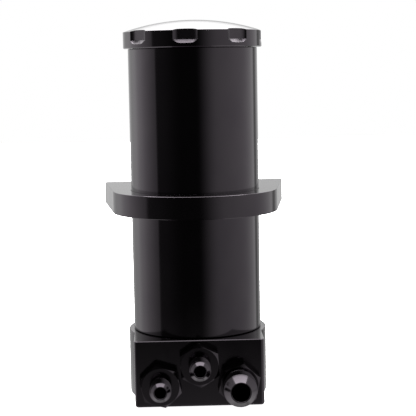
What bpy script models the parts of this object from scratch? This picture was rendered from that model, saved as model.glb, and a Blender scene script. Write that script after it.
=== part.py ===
"""Hydraulic reservoir: a black anodised tank on a ported base block, with a screw cap and a return filter.

Metres, +Z up. The origin is on the tank's axis, on the flat underside of the base, and the ports face -Y.
"""

import math

import bmesh
import bpy
from mathutils import Matrix, Vector

# Gaps between pieces that touch or run in each other.
TOUCH_GAP = 0.0003

# Tank tube: 3.5 in outside diameter, 1/8 in wall.
TUBE_RADIUS = 0.04445
TUBE_WALL = 0.003175
TUBE_BORE = TUBE_RADIUS - TUBE_WALL
SPIGOT_RADIUS = TUBE_BORE - TOUCH_GAP

# Base block: a disc under the tube joined to a square-fronted port block.
BASE_HEIGHT = 0.0453
BASE_DISC_RADIUS = 0.0481
FRONT_HALF_WIDTH = 0.0436
FRONT_FACE_Y = -0.049
FRONT_CORNER_RADIUS = 0.0025
SPIGOT_HEIGHT = 0.009
SPIGOT_TOP = BASE_HEIGHT + SPIGOT_HEIGHT
SUMP_RADIUS = 0.0355
SUMP_FLOOR = 0.0423

# Ports in the front face: two returns and one larger feed.
SIDE_PORT_X = 0.0262
SIDE_PORT_Z = 0.0164
MIDDLE_PORT_Z = 0.0299
PORT_BORE = 0.0111
PORT_DEPTH = 0.0155
PORT_MOUTH_RADIUS = 0.012
PORT_MOUTH_DEPTH = 0.003
RETURN_PASSAGE = 0.005
FEED_PASSAGE = 0.0075
LEFT_RISER_Y = -0.010
FEED_RISER = (0.0235, -0.009)
FEED_RISER_RADIUS = 0.009
GALLERY_HALF_WIDTH = 0.006
GALLERY_FLOOR = 0.034

# Hose fittings: a straight-thread end with an O-ring, a 1 in hexagon and a 37 degree flared end.
HEX_ACROSS_FLATS = 0.0254
HEX_LENGTH = 0.010
SHANK_RADIUS = PORT_BORE - TOUCH_GAP
SHANK_LENGTH = 0.0127
SHANK_NECK_RADIUS = 0.0094
RETURN_THREAD_RADIUS = 0.00715
RETURN_BORE = 0.00375
RETURN_END_LENGTH = 0.0155
FEED_THREAD_RADIUS = 0.0111
FEED_BORE = 0.00615
FEED_END_LENGTH = 0.019
NECK_LENGTH = 0.0025
THREAD_RELIEF = 0.0011
FLARE_ANGLE = math.radians(37.0)
FLARE_LIP = 0.0009
FITTING_SEAL_SECTION = 0.001
# How far each hexagon has stopped from having a corner straight up.
LEFT_HEX_TURN = math.radians(-12.7)
MIDDLE_HEX_TURN = math.radians(-3.3)
RIGHT_HEX_TURN = math.radians(12.3)

# Static seals between the tube and its two ends.
SEAL_SECTION = 0.0013
SEAL_RING_RADIUS = SPIGOT_RADIUS - SEAL_SECTION
SEAL_GROOVE_RADIUS = SEAL_RING_RADIUS - SEAL_SECTION - TOUCH_GAP
SEAL_GROOVE_HALF_WIDTH = SEAL_SECTION + TOUCH_GAP
BASE_SEAL_Z = BASE_HEIGHT + 0.003

# Cap: a domed, finger-scalloped flange over a threaded plug.
CAP_RADIUS = 0.047625
CAP_BOTTOM = 0.2398
CAP_RIM_HEIGHT = 0.0113
CAP_DOME_RISE = 0.0077
CAP_EDGE = 0.0008
CAP_PLUG_LENGTH = 0.0103
CAP_RECESS_RADIUS = 0.036
CAP_RECESS_DEPTH = 0.0062
CAP_SEAL_DROP = 0.0033
SCALLOP_COUNT = 8
SCALLOP_START = math.radians(-96.4)
SCALLOP_DEPTH = 0.0024
SCALLOP_WALL_DROP = 0.0063
SCALLOP_TOOL_RADIUS = 0.005
SCALLOP_TOOL_TRAVEL = 0.009
SCALLOP_TOOL_POINT = 0.003
TUBE_TOP = CAP_BOTTOM - TOUCH_GAP

# Mounting bracket: a D-shaped collar with a flat back.
BRACKET_BOTTOM = 0.1272
BRACKET_THICKNESS = 0.0152
BRACKET_FRONT_RADIUS = 0.0575
BRACKET_FLARE = math.radians(7.4)
BRACKET_BACK_Y = 0.066
BRACKET_CORNER_RADIUS = 0.003
BRACKET_BOLT_X = 0.048
BRACKET_BOLT_RADIUS = 0.004
BRACKET_BOLT_DEPTH = 0.016
SET_SCREW_ANGLE = math.radians(20.0)
SET_SCREW_RADIUS = 0.0035
SET_SCREW_LENGTH = 0.012
SET_SCREW_SOCKET = 0.002
SET_SCREW_SOCKET_DEPTH = 0.003

# Inside the tank: gallery cover, stand pipe, baffle and filter.
COVER_RADIUS = 0.0345
COVER_THICKNESS = 0.0035
COVER_EDGE_X = 0.0125
COVER_BOTTOM = SUMP_FLOOR + TOUCH_GAP
COVER_TOP = COVER_BOTTOM + COVER_THICKNESS
COVER_SCREW_PLACES = ((-0.0285, 0.0100), (-0.0080, 0.0270), (-0.0080, -0.0270))
COVER_SCREW_RADIUS = 0.0015
COVER_SCREW_HEAD_RADIUS = 0.0028
COVER_SCREW_HEAD_HEIGHT = 0.0022
COVER_SCREW_LENGTH = 0.010
PIPE_RADIUS = 0.007
PIPE_BORE = 0.0048
PIPE_TOP = 0.176
PIPE_COLLAR_RADIUS = 0.0115
PIPE_COLLAR_HEIGHT = 0.0055
PIPE_HOLE_RADIUS = 0.0025
PIPE_HOLE_ROWS = 3
PIPE_HOLE_START = 0.082
PIPE_HOLE_PITCH = 0.032
STUD_RADIUS = 0.003
STUD_LENGTH = 0.036
BAFFLE_RADIUS = SPIGOT_RADIUS
BAFFLE_THICKNESS = 0.002
BAFFLE_BOTTOM = SPIGOT_TOP + TOUCH_GAP
BAFFLE_HOLE_RADIUS = 0.003
BAFFLE_HOLE_RING = 0.029
BAFFLE_HOLE_COUNT = 8
BAFFLE_NUT_FLATS = 0.022
BAFFLE_NUT_HEIGHT = 0.005
BAFFLE_NUT_BOTTOM = BAFFLE_BOTTOM + BAFFLE_THICKNESS + TOUCH_GAP
FILTER_BOTTOM = BAFFLE_NUT_BOTTOM + BAFFLE_NUT_HEIGHT + TOUCH_GAP
FILTER_RADIUS = 0.0295
FILTER_CAP_THICKNESS = 0.003
FILTER_CAP_LIP = 0.003
FILTER_CAP_WALL = 0.001
FILTER_HEIGHT = 0.102
PLEAT_COUNT = 30
PLEAT_OUTER_RADIUS = 0.0278
PLEAT_DEPTH = 0.0085
PLEAT_WALL = 0.0014
CORE_RADIUS = 0.0168
CORE_WALL = 0.001
CORE_HOLE_RADIUS = 0.002
CORE_HOLE_ROWS = 4
CORE_HOLES_ROUND = 4
GROMMET_WALL = 0.0022
GROMMET_OVERHANG = 0.001
SPRING_RADIUS = 0.0085
SPRING_WIRE = 0.0007
SPRING_TURNS = 4
SPRING_POINTS_ROUND = 12
SPRING_HEIGHT = 0.019
SEAT_RADIUS = 0.0115
SEAT_THICKNESS = 0.0015
STUD_NUT_FLATS = 0.010
STUD_NUT_HEIGHT = 0.005

# Facets round the turned pieces.
LARGE_SEGMENTS = 56
MEDIUM_SEGMENTS = 28
SMALL_SEGMENTS = 18
PASSAGE_SEGMENTS = 14
TINY_SEGMENTS = 10
COVER_TAP_SEGMENTS = 6
SEAL_SECTION_SEGMENTS = 5
FLAT_ANGLE = math.radians(0.5)
SMOOTH_ANGLE = math.radians(30.0)
MERGE = 0.00001

# Colour, roughness and metallic value of each finish.
FINISHES = {
    "black_anodised": ((0.012, 0.011, 0.013, 1.0), 0.12, 0.6),
    "black_steel": ((0.03, 0.03, 0.03, 1.0), 0.4, 0.9),
    "bare_aluminium": ((0.75, 0.76, 0.77, 1.0), 0.35, 1.0),
    "zinc_steel": ((0.62, 0.61, 0.58, 1.0), 0.35, 1.0),
    "spring_steel": ((0.45, 0.45, 0.46, 1.0), 0.3, 1.0),
    "nitrile_rubber": ((0.02, 0.02, 0.02, 1.0), 0.6, 0.0),
    "filter_paper": ((0.78, 0.68, 0.45, 1.0), 0.9, 0.0),
}


def clear_scene():
    for obj in list(bpy.data.objects):
        bpy.data.objects.remove(obj, do_unlink=True)


def make_collection(name, cutters=False):
    collection = bpy.data.collections.new(name)
    bpy.context.scene.collection.children.link(collection)
    collection.hide_render = cutters
    return collection


def finish_material(name):
    if name in bpy.data.materials:
        return bpy.data.materials[name]
    colour, roughness, metallic = FINISHES[name]
    material = bpy.data.materials.new(name)
    material.use_nodes = True
    shader = material.node_tree.nodes["Principled BSDF"]
    shader.inputs["Base Color"].default_value = colour
    shader.inputs["Roughness"].default_value = roughness
    shader.inputs["Metallic"].default_value = metallic
    material.diffuse_color = colour
    return material


def add_object(name, data, collection):
    obj = bpy.data.objects.new(name, data)
    collection.objects.link(obj)
    return obj


def helper(name, data):
    obj = add_object(name, data, CUTTERS)
    obj.hide_render = True
    obj.display_type = "WIRE"
    return obj


def evaluated_mesh(obj):
    """A welded copy of the object's shape with its modifiers, in its own coordinates."""
    bpy.context.view_layer.update()
    graph = bpy.context.evaluated_depsgraph_get()
    mesh = bpy.data.meshes.new_from_object(obj.evaluated_get(graph))
    shape = bmesh.new()
    shape.from_mesh(mesh)
    bmesh.ops.remove_doubles(shape, verts=shape.verts, dist=MERGE)
    shape.to_mesh(mesh)
    shape.free()
    return mesh


def finish_part(obj, name, finish):
    """Turns a modelled object into a finished part of the assembly."""
    mesh = evaluated_mesh(obj)
    mesh.name = name
    mesh.shade_smooth()
    mesh.set_sharp_from_angle(angle=SMOOTH_ANGLE)
    mesh.materials.clear()
    mesh.materials.append(finish_material(finish))
    part = add_object(name, mesh, PARTS)
    part.matrix_world = obj.matrix_world.copy()
    bpy.data.objects.remove(obj, do_unlink=True)
    return part


def turned(name, profile, segments, closed=True):
    """Turns a profile of (radius, height) points about Z. It runs down its outer side."""
    mesh = bpy.data.meshes.new(name)
    edges = [(index, index + 1) for index in range(len(profile) - 1)]
    if closed:
        edges.append((len(profile) - 1, 0))
    mesh.from_pydata([(radius, 0.0, height) for radius, height in profile], edges, [])
    obj = helper(name, mesh)
    screw = obj.modifiers.new("turn", "SCREW")
    screw.axis = "Z"
    screw.steps = segments
    screw.render_steps = segments
    screw.use_merge_vertices = True
    screw.merge_threshold = MERGE
    screw.use_smooth_shade = True
    return obj


def rod(name, radius, low, high, segments):
    """A plain round bar about Z."""
    profile = [(0.0, high), (radius, high), (radius, low), (0.0, low)]
    return turned(name, profile, segments, closed=False)


def ring(name, outer, inner, low, high, segments):
    """A plain round tube about Z."""
    return turned(name, [(outer, high), (outer, low), (inner, low), (inner, high)], segments)


def prism(name, across_flats, low, high, turn=0.0):
    """A hexagonal bar about Z, with a corner along +Y before it is turned."""
    mesh = bpy.data.meshes.new(name)
    shape = bmesh.new()
    corner_radius = across_flats / math.sqrt(3.0)
    to_place = Matrix.Translation((0.0, 0.0, (low + high) / 2)) @ Matrix.Rotation(turn, 4, "Z")
    bmesh.ops.create_cone(
        shape,
        cap_ends=True,
        segments=6,
        radius1=corner_radius,
        radius2=corner_radius,
        depth=high - low,
        matrix=to_place,
    )
    shape.to_mesh(mesh)
    shape.free()
    return helper(name, mesh)


def arc(radius, start, end, count, centre=(0.0, 0.0)):
    """Points along an arc, both ends included."""
    step = (end - start) / count
    angles = [start + step * index for index in range(count + 1)]
    return [(centre[0] + radius * math.cos(a), centre[1] + radius * math.sin(a)) for a in angles]


def extruded(name, outlines, low, high):
    """A flat outline, with any holes as further outlines, raised from low to high."""
    curve = bpy.data.curves.new(name, "CURVE")
    curve.dimensions = "2D"
    curve.fill_mode = "BOTH"
    curve.extrude = (high - low) / 2
    for outline in outlines:
        spline = curve.splines.new("POLY")
        spline.points.add(len(outline) - 1)
        for point, (x, y) in zip(spline.points, outline):
            point.co = (x, y, 0.0, 1.0)
        spline.use_cyclic_u = True
    drawn = helper(name, curve)
    drawn.location.z = (high + low) / 2
    mesh = evaluated_mesh(drawn)
    obj = helper(name, mesh)
    obj.matrix_world = drawn.matrix_world.copy()
    bpy.data.objects.remove(drawn, do_unlink=True)
    return obj


def torus(name, ring_radius, section_radius, ring_segments, section_segments):
    bpy.ops.mesh.primitive_torus_add(
        major_radius=ring_radius,
        minor_radius=section_radius,
        major_segments=ring_segments,
        minor_segments=section_segments,
    )
    made = bpy.context.active_object
    obj = helper(name, made.data)
    bpy.data.objects.remove(made, do_unlink=True)
    return obj


def combine(obj, operation, *others):
    """Adds one exact Boolean for each other shape."""
    for other in others:
        boolean = obj.modifiers.new(operation.lower(), "BOOLEAN")
        boolean.operation = operation
        boolean.solver = "EXACT"
        boolean.object = other
    return obj


def point_forward(obj, x, y, z):
    """Lays an object's +Z along -Y, out of the front face."""
    obj.rotation_euler = (math.pi / 2, 0.0, 0.0)
    obj.location = (x, y, z)
    return obj


def lay_along(obj, start, direction):
    """Points an object's +Z along a direction."""
    obj.rotation_mode = "QUATERNION"
    obj.rotation_quaternion = Vector(direction).to_track_quat("Z", "Y")
    obj.location = start
    return obj


def row_of_holes(name, radius, reach, heights, count, segments):
    """Radial drills at several heights, as one cutter."""
    mesh = bpy.data.meshes.new(name)
    shape = bmesh.new()
    for height in heights:
        for index in range(count // 2):
            place = Matrix.Translation((0.0, 0.0, height))
            turn = Matrix.Rotation(index * 2 * math.pi / count, 4, "Z")
            lay = Matrix.Rotation(math.pi / 2, 4, "X")
            bmesh.ops.create_cone(
                shape,
                cap_ends=True,
                segments=segments,
                radius1=radius,
                radius2=radius,
                depth=2 * reach,
                matrix=place @ turn @ lay,
            )
    shape.to_mesh(mesh)
    shape.free()
    return helper(name, mesh)


def spigot_profile(low, high, inner, seal_z):
    """The plug that enters the tube's end, with its seal groove."""
    groove_low = seal_z - SEAL_GROOVE_HALF_WIDTH
    groove_high = seal_z + SEAL_GROOVE_HALF_WIDTH
    return [
        (SPIGOT_RADIUS, high),
        (SPIGOT_RADIUS, groove_high),
        (SEAL_GROOVE_RADIUS, groove_high),
        (SEAL_GROOVE_RADIUS, groove_low),
        (SPIGOT_RADIUS, groove_low),
        (SPIGOT_RADIUS, low),
        (inner, low),
        (inner, high),
    ]


def base_outline():
    """A disc with a square front block, whose upright front edges are rounded."""
    join_y = -math.sqrt(BASE_DISC_RADIUS**2 - FRONT_HALF_WIDTH**2)
    join_angle = math.atan2(join_y, FRONT_HALF_WIDTH)
    corner_x = FRONT_HALF_WIDTH - FRONT_CORNER_RADIUS
    corner_y = FRONT_FACE_Y + FRONT_CORNER_RADIUS
    back = arc(BASE_DISC_RADIUS, join_angle, math.pi - join_angle, 36)
    left = arc(FRONT_CORNER_RADIUS, math.pi, 1.5 * math.pi, 4, (-corner_x, corner_y))
    right = arc(FRONT_CORNER_RADIUS, 1.5 * math.pi, 2 * math.pi, 4, (corner_x, corner_y))
    return back + left + right


def port_cutter(name, x, z, passage, reach):
    """A straight-thread port with its seal seat, and the passage drilled on from its end."""
    profile = [
        (0.0, TOUCH_GAP),
        (PORT_MOUTH_RADIUS, TOUCH_GAP),
        (PORT_MOUTH_RADIUS, -PORT_MOUTH_DEPTH),
        (PORT_BORE, -PORT_MOUTH_DEPTH),
        (PORT_BORE, -PORT_DEPTH),
        (passage, -PORT_DEPTH),
        (passage, -reach),
        (0.0, -reach),
    ]
    cutter = turned(name, profile, PASSAGE_SEGMENTS, closed=False)
    return point_forward(cutter, x, FRONT_FACE_Y, z)


def gallery_cutter():
    """The milled slot that joins the left return's riser to the stand pipe."""
    length = math.hypot(SIDE_PORT_X, LEFT_RISER_Y)
    towards_left = math.atan2(LEFT_RISER_Y, -SIDE_PORT_X)
    across = towards_left + math.pi / 2
    far_end = (length * math.cos(towards_left), length * math.sin(towards_left))
    near = arc(GALLERY_HALF_WIDTH, across, across + math.pi, 8)
    far = arc(GALLERY_HALF_WIDTH, across + math.pi, across + 2 * math.pi, 8, far_end)
    return extruded("gallery_cutter", [near + far], GALLERY_FLOOR, SUMP_FLOOR + TOUCH_GAP)


def make_base_manifold():
    """The block, with a counterbore that the spigot ring is pressed into, and its ports and passages."""
    block = extruded("base_block", [base_outline()], 0.0, BASE_HEIGHT)
    counterbore = rod("counterbore", TUBE_BORE, SUMP_FLOOR, BASE_HEIGHT + TOUCH_GAP, MEDIUM_SEGMENTS)
    left_reach = LEFT_RISER_Y - FRONT_FACE_Y + RETURN_PASSAGE
    middle_reach = -FRONT_FACE_Y + RETURN_PASSAGE
    feed_reach = FEED_RISER[1] - FRONT_FACE_Y + FEED_PASSAGE
    left = port_cutter("left_port", -SIDE_PORT_X, SIDE_PORT_Z, RETURN_PASSAGE, left_reach)
    middle = port_cutter("middle_port", 0.0, MIDDLE_PORT_Z, RETURN_PASSAGE, middle_reach)
    feed = port_cutter("feed_port", SIDE_PORT_X, SIDE_PORT_Z, FEED_PASSAGE, feed_reach)
    riser_top = GALLERY_FLOOR + TOUCH_GAP
    left_riser = rod("left_riser", RETURN_PASSAGE, SIDE_PORT_Z, riser_top, PASSAGE_SEGMENTS)
    left_riser.location = (-SIDE_PORT_X, LEFT_RISER_Y, 0.0)
    middle_riser = rod("middle_riser", RETURN_PASSAGE, MIDDLE_PORT_Z, riser_top, PASSAGE_SEGMENTS)
    feed_low = SIDE_PORT_Z - FEED_PASSAGE / 2
    feed_high = SUMP_FLOOR + TOUCH_GAP
    feed_riser = rod("feed_riser", FEED_RISER_RADIUS, feed_low, feed_high, PASSAGE_SEGMENTS)
    feed_riser.location = (*FEED_RISER, 0.0)
    combine(block, "DIFFERENCE", counterbore, gallery_cutter(), left, middle, feed)
    combine(block, "DIFFERENCE", left_riser, middle_riser, feed_riser)
    screw_low = COVER_TOP - COVER_SCREW_LENGTH - 3 * TOUCH_GAP
    for index, (x, y) in enumerate(COVER_SCREW_PLACES):
        tap_radius = COVER_SCREW_RADIUS + TOUCH_GAP
        tap = rod(f"cover_tap_{index}", tap_radius, screw_low, feed_high, COVER_TAP_SEGMENTS)
        tap.location = (x, y, 0.0)
        combine(block, "DIFFERENCE", tap)
    finish_part(block, "base_manifold", "black_anodised")


def make_tank_spigot():
    """The ring in the base's counterbore, which the tube fits over and the sump is inside."""
    low = SUMP_FLOOR + TOUCH_GAP
    profile = spigot_profile(low, SPIGOT_TOP, SUMP_RADIUS, BASE_SEAL_Z)
    finish_part(turned("spigot_turned", profile, LARGE_SEGMENTS), "tank_spigot", "black_anodised")


def make_reservoir_tube():
    low = BASE_HEIGHT + TOUCH_GAP
    tube = ring("tube", TUBE_RADIUS, TUBE_BORE, 0.0, TUBE_TOP - low, LARGE_SEGMENTS)
    tube.location.z = low
    finish_part(tube, "reservoir_tube", "black_anodised")


def make_tube_base_seal():
    seal = torus("base_ring", SEAL_RING_RADIUS, SEAL_SECTION, MEDIUM_SEGMENTS, SEAL_SECTION_SEGMENTS)
    seal.location.z = BASE_SEAL_Z
    finish_part(seal, "tube_base_seal", "nitrile_rubber")


def bracket_outline():
    """The front arc is centred on the tube, and the sides leave it at a tangent and flare to the back."""
    front_left = math.pi + BRACKET_FLARE
    front = arc(BRACKET_FRONT_RADIUS, front_left, 2 * math.pi - BRACKET_FLARE, 36)
    side_x, side_y = front[-1]
    back_x = side_x + (BRACKET_BACK_Y - side_y) * math.tan(BRACKET_FLARE)
    half_turn = (math.pi / 2 + BRACKET_FLARE) / 2
    inset = BRACKET_CORNER_RADIUS / math.tan(math.pi / 2 - half_turn)
    centre = (back_x - inset, BRACKET_BACK_Y - BRACKET_CORNER_RADIUS)
    right = arc(BRACKET_CORNER_RADIUS, -BRACKET_FLARE, math.pi / 2, 4, centre)
    left = [(-x, y) for x, y in reversed(right)]
    return front + right + left


def set_screw_pose(side):
    """The inner end of a set screw's axis, just off the tube, and its outward direction."""
    direction = (side * math.sin(SET_SCREW_ANGLE), math.cos(SET_SCREW_ANGLE), 0.0)
    reach = TUBE_RADIUS + TOUCH_GAP
    start = (direction[0] * reach, direction[1] * reach, BRACKET_BOTTOM + BRACKET_THICKNESS / 2)
    return start, direction


def make_mounting_bracket():
    hole = arc(TUBE_RADIUS + TOUCH_GAP, 0.0, 2 * math.pi, LARGE_SEGMENTS)[:-1]
    top = BRACKET_BOTTOM + BRACKET_THICKNESS
    plate = extruded("bracket_plate", [bracket_outline(), hole], BRACKET_BOTTOM, top)
    middle_z = BRACKET_BOTTOM + BRACKET_THICKNESS / 2
    for side in (-1, 1):
        bolt = rod(f"bolt_hole_{side}", BRACKET_BOLT_RADIUS, -TOUCH_GAP, BRACKET_BOLT_DEPTH, SMALL_SEGMENTS)
        point_forward(bolt, side * BRACKET_BOLT_X, BRACKET_BACK_Y, middle_z)
        start, direction = set_screw_pose(side)
        tap_radius = SET_SCREW_RADIUS + TOUCH_GAP
        tap = rod(f"set_screw_tap_{side}", tap_radius, -PORT_MOUTH_DEPTH, BRACKET_BACK_Y, SMALL_SEGMENTS)
        lay_along(tap, start, direction)
        combine(plate, "DIFFERENCE", bolt, tap)
    finish_part(plate, "mounting_bracket", "black_anodised")


def make_bracket_set_screws():
    for side, name in ((-1, "set_screw_left"), (1, "set_screw_right")):
        screw = rod(f"{name}_blank", SET_SCREW_RADIUS, TOUCH_GAP, SET_SCREW_LENGTH, TINY_SEGMENTS)
        socket_low = SET_SCREW_LENGTH - SET_SCREW_SOCKET_DEPTH
        socket = prism(f"{name}_socket", 2 * SET_SCREW_SOCKET, socket_low, SET_SCREW_LENGTH + TOUCH_GAP)
        start, direction = set_screw_pose(side)
        lay_along(screw, start, direction)
        lay_along(socket, start, direction)
        combine(screw, "DIFFERENCE", socket)
        finish_part(screw, name, "black_steel")


def fitting_profile(thread_radius, bore, end_length):
    """Shank, seal neck, relief, thread and 37 degree cone, bored right through, about the port's axis."""
    hex_end = TOUCH_GAP + HEX_LENGTH
    tip = hex_end + end_length
    cone_base = thread_radius - THREAD_RELIEF
    cone_tip = bore + FLARE_LIP
    cone_length = (cone_base - cone_tip) / math.tan(FLARE_ANGLE)
    return [
        (cone_tip, tip),
        (cone_base, tip - cone_length),
        (thread_radius, tip - cone_length - THREAD_RELIEF),
        (thread_radius, hex_end + NECK_LENGTH),
        (cone_base, hex_end + NECK_LENGTH - THREAD_RELIEF),
        (cone_base, hex_end - HEX_LENGTH / 2),
        (SHANK_NECK_RADIUS, hex_end - HEX_LENGTH / 2),
        (SHANK_NECK_RADIUS, -PORT_MOUTH_DEPTH),
        (SHANK_RADIUS, -PORT_MOUTH_DEPTH),
        (SHANK_RADIUS, -SHANK_LENGTH),
        (bore, -SHANK_LENGTH),
        (bore, tip),
    ]


def make_fitting(name, x, z, hex_turn, thread_radius, bore, end_length):
    body = turned(f"{name}_body", fitting_profile(thread_radius, bore, end_length), MEDIUM_SEGMENTS)
    nut = prism(f"{name}_hexagon", HEX_ACROSS_FLATS, TOUCH_GAP, TOUCH_GAP + HEX_LENGTH, -hex_turn)
    drill = rod(f"{name}_drill", bore, -SHANK_LENGTH, FEED_END_LENGTH, MEDIUM_SEGMENTS)
    for piece in (body, nut, drill):
        point_forward(piece, x, FRONT_FACE_Y, z)
    combine(nut, "DIFFERENCE", drill)
    combine(nut, "UNION", body)
    finish_part(nut, name, "black_anodised")


def make_fitting_seal(name, x, z):
    ring_radius = SHANK_NECK_RADIUS + TOUCH_GAP + FITTING_SEAL_SECTION
    seal = torus(f"{name}_ring", ring_radius, FITTING_SEAL_SECTION, SMALL_SEGMENTS, SEAL_SECTION_SEGMENTS)
    point_forward(seal, x, FRONT_FACE_Y + FITTING_SEAL_SECTION + TOUCH_GAP, z)
    finish_part(seal, name, "nitrile_rubber")


def make_fittings():
    returns = (RETURN_THREAD_RADIUS, RETURN_BORE, RETURN_END_LENGTH)
    feed = (FEED_THREAD_RADIUS, FEED_BORE, FEED_END_LENGTH)
    make_fitting("return_fitting_left", -SIDE_PORT_X, SIDE_PORT_Z, LEFT_HEX_TURN, *returns)
    make_fitting("return_fitting_middle", 0.0, MIDDLE_PORT_Z, MIDDLE_HEX_TURN, *returns)
    make_fitting("feed_fitting", SIDE_PORT_X, SIDE_PORT_Z, RIGHT_HEX_TURN, *feed)
    make_fitting_seal("return_seal_left", -SIDE_PORT_X, SIDE_PORT_Z)
    make_fitting_seal("return_seal_middle", 0.0, MIDDLE_PORT_Z)
    make_fitting_seal("feed_seal", SIDE_PORT_X, SIDE_PORT_Z)


def dome_points():
    """The shallow spherical top, from the middle out to the rounded rim edge."""
    reach = CAP_RADIUS - CAP_EDGE
    radius = (reach**2 + CAP_DOME_RISE**2) / (2 * CAP_DOME_RISE)
    centre = CAP_RIM_HEIGHT + CAP_DOME_RISE - radius
    steps = 4
    radii = [reach * index / steps for index in range(steps + 1)]
    return [(r, centre + math.sqrt(radius**2 - r**2)) for r in radii]


def scallop_cutter(name):
    """A milling tool with a 45 degree chamfered end, moved sideways past the rim in one straight pass."""
    wall_low = CAP_RIM_HEIGHT - SCALLOP_WALL_DROP
    levels = [
        (CAP_RIM_HEIGHT + CAP_DOME_RISE, SCALLOP_TOOL_RADIUS),
        (wall_low, SCALLOP_TOOL_RADIUS),
        (wall_low - SCALLOP_TOOL_POINT, SCALLOP_TOOL_RADIUS - SCALLOP_TOOL_POINT),
    ]
    shape = bmesh.new()
    for height, radius in levels:
        ends = arc(radius, 0.0, math.pi, SMALL_SEGMENTS, (0.0, SCALLOP_TOOL_TRAVEL / 2))
        ends += arc(radius, math.pi, 2 * math.pi, SMALL_SEGMENTS, (0.0, -SCALLOP_TOOL_TRAVEL / 2))
        for x, y in ends:
            shape.verts.new((x, y, height))
    bmesh.ops.convex_hull(shape, input=shape.verts)
    bmesh.ops.dissolve_limit(shape, angle_limit=FLAT_ANGLE, verts=shape.verts, edges=shape.edges)
    mesh = bpy.data.meshes.new(name)
    shape.to_mesh(mesh)
    shape.free()
    return helper(name, mesh)


def make_cap():
    recess_top = CAP_RECESS_DEPTH
    profile = dome_points() + [
        (CAP_RADIUS, CAP_RIM_HEIGHT - CAP_EDGE),
        (CAP_RADIUS, CAP_EDGE),
        (CAP_RADIUS - CAP_EDGE, 0.0),
        (SPIGOT_RADIUS, 0.0),
        (SPIGOT_RADIUS, SEAL_GROOVE_HALF_WIDTH - CAP_SEAL_DROP),
        (SEAL_GROOVE_RADIUS, SEAL_GROOVE_HALF_WIDTH - CAP_SEAL_DROP),
        (SEAL_GROOVE_RADIUS, -SEAL_GROOVE_HALF_WIDTH - CAP_SEAL_DROP),
        (SPIGOT_RADIUS, -SEAL_GROOVE_HALF_WIDTH - CAP_SEAL_DROP),
        (SPIGOT_RADIUS, -CAP_PLUG_LENGTH),
        (CAP_RECESS_RADIUS, -CAP_PLUG_LENGTH),
        (CAP_RECESS_RADIUS, recess_top),
        (0.0, recess_top),
    ]
    cap = turned("cap_turned", profile, LARGE_SEGMENTS, closed=False)
    cap.location.z = CAP_BOTTOM
    centre_radius = CAP_RADIUS - SCALLOP_DEPTH + SCALLOP_TOOL_RADIUS
    for index in range(SCALLOP_COUNT):
        angle = SCALLOP_START + index * 2 * math.pi / SCALLOP_COUNT
        cutter = scallop_cutter(f"scallop_{index}")
        cutter.location = (centre_radius * math.cos(angle), centre_radius * math.sin(angle), CAP_BOTTOM)
        cutter.rotation_euler.z = angle
        combine(cap, "DIFFERENCE", cutter)
    finish_part(cap, "cap", "black_anodised")


def make_cap_seal():
    seal = torus("cap_ring", SEAL_RING_RADIUS, SEAL_SECTION, MEDIUM_SEGMENTS, SEAL_SECTION_SEGMENTS)
    seal.location.z = CAP_BOTTOM - CAP_SEAL_DROP
    finish_part(seal, "cap_seal", "nitrile_rubber")


def make_gallery_cover():
    """A disc cut off straight beside the feed riser, tapped in the middle for the stand pipe."""
    edge_angle = math.acos(COVER_EDGE_X / COVER_RADIUS)
    outline = arc(COVER_RADIUS, edge_angle, 2 * math.pi - edge_angle, 32)
    hole = arc(PIPE_RADIUS + TOUCH_GAP, 0.0, 2 * math.pi, SMALL_SEGMENTS)[:-1]
    cover = extruded("cover_plate", [outline, hole], COVER_BOTTOM, COVER_TOP)
    for index, (x, y) in enumerate(COVER_SCREW_PLACES):
        clearance = rod(
            f"cover_clearance_{index}",
            COVER_SCREW_RADIUS + TOUCH_GAP,
            COVER_BOTTOM - TOUCH_GAP,
            COVER_TOP + TOUCH_GAP,
            TINY_SEGMENTS,
        )
        clearance.location = (x, y, 0.0)
        combine(cover, "DIFFERENCE", clearance)
    finish_part(cover, "gallery_cover", "bare_aluminium")


def make_cover_screws():
    """Small cap screws, each with a hexagon socket."""
    head_low = TOUCH_GAP
    head_high = head_low + COVER_SCREW_HEAD_HEIGHT
    profile = [
        (0.0, head_high),
        (COVER_SCREW_HEAD_RADIUS, head_high),
        (COVER_SCREW_HEAD_RADIUS, head_low),
        (COVER_SCREW_RADIUS, head_low),
        (COVER_SCREW_RADIUS, -COVER_SCREW_LENGTH),
        (0.0, -COVER_SCREW_LENGTH),
    ]
    for index, (x, y) in enumerate(COVER_SCREW_PLACES):
        name = f"gallery_cover_screw_{index + 1}"
        screw = turned(f"{name}_turned", profile, TINY_SEGMENTS, closed=False)
        socket = prism(f"{name}_socket", COVER_SCREW_HEAD_RADIUS, head_high / 2, head_high + TOUCH_GAP)
        for piece in (screw, socket):
            piece.location = (x, y, COVER_TOP)
        combine(screw, "DIFFERENCE", socket)
        finish_part(screw, name, "zinc_steel")


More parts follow.
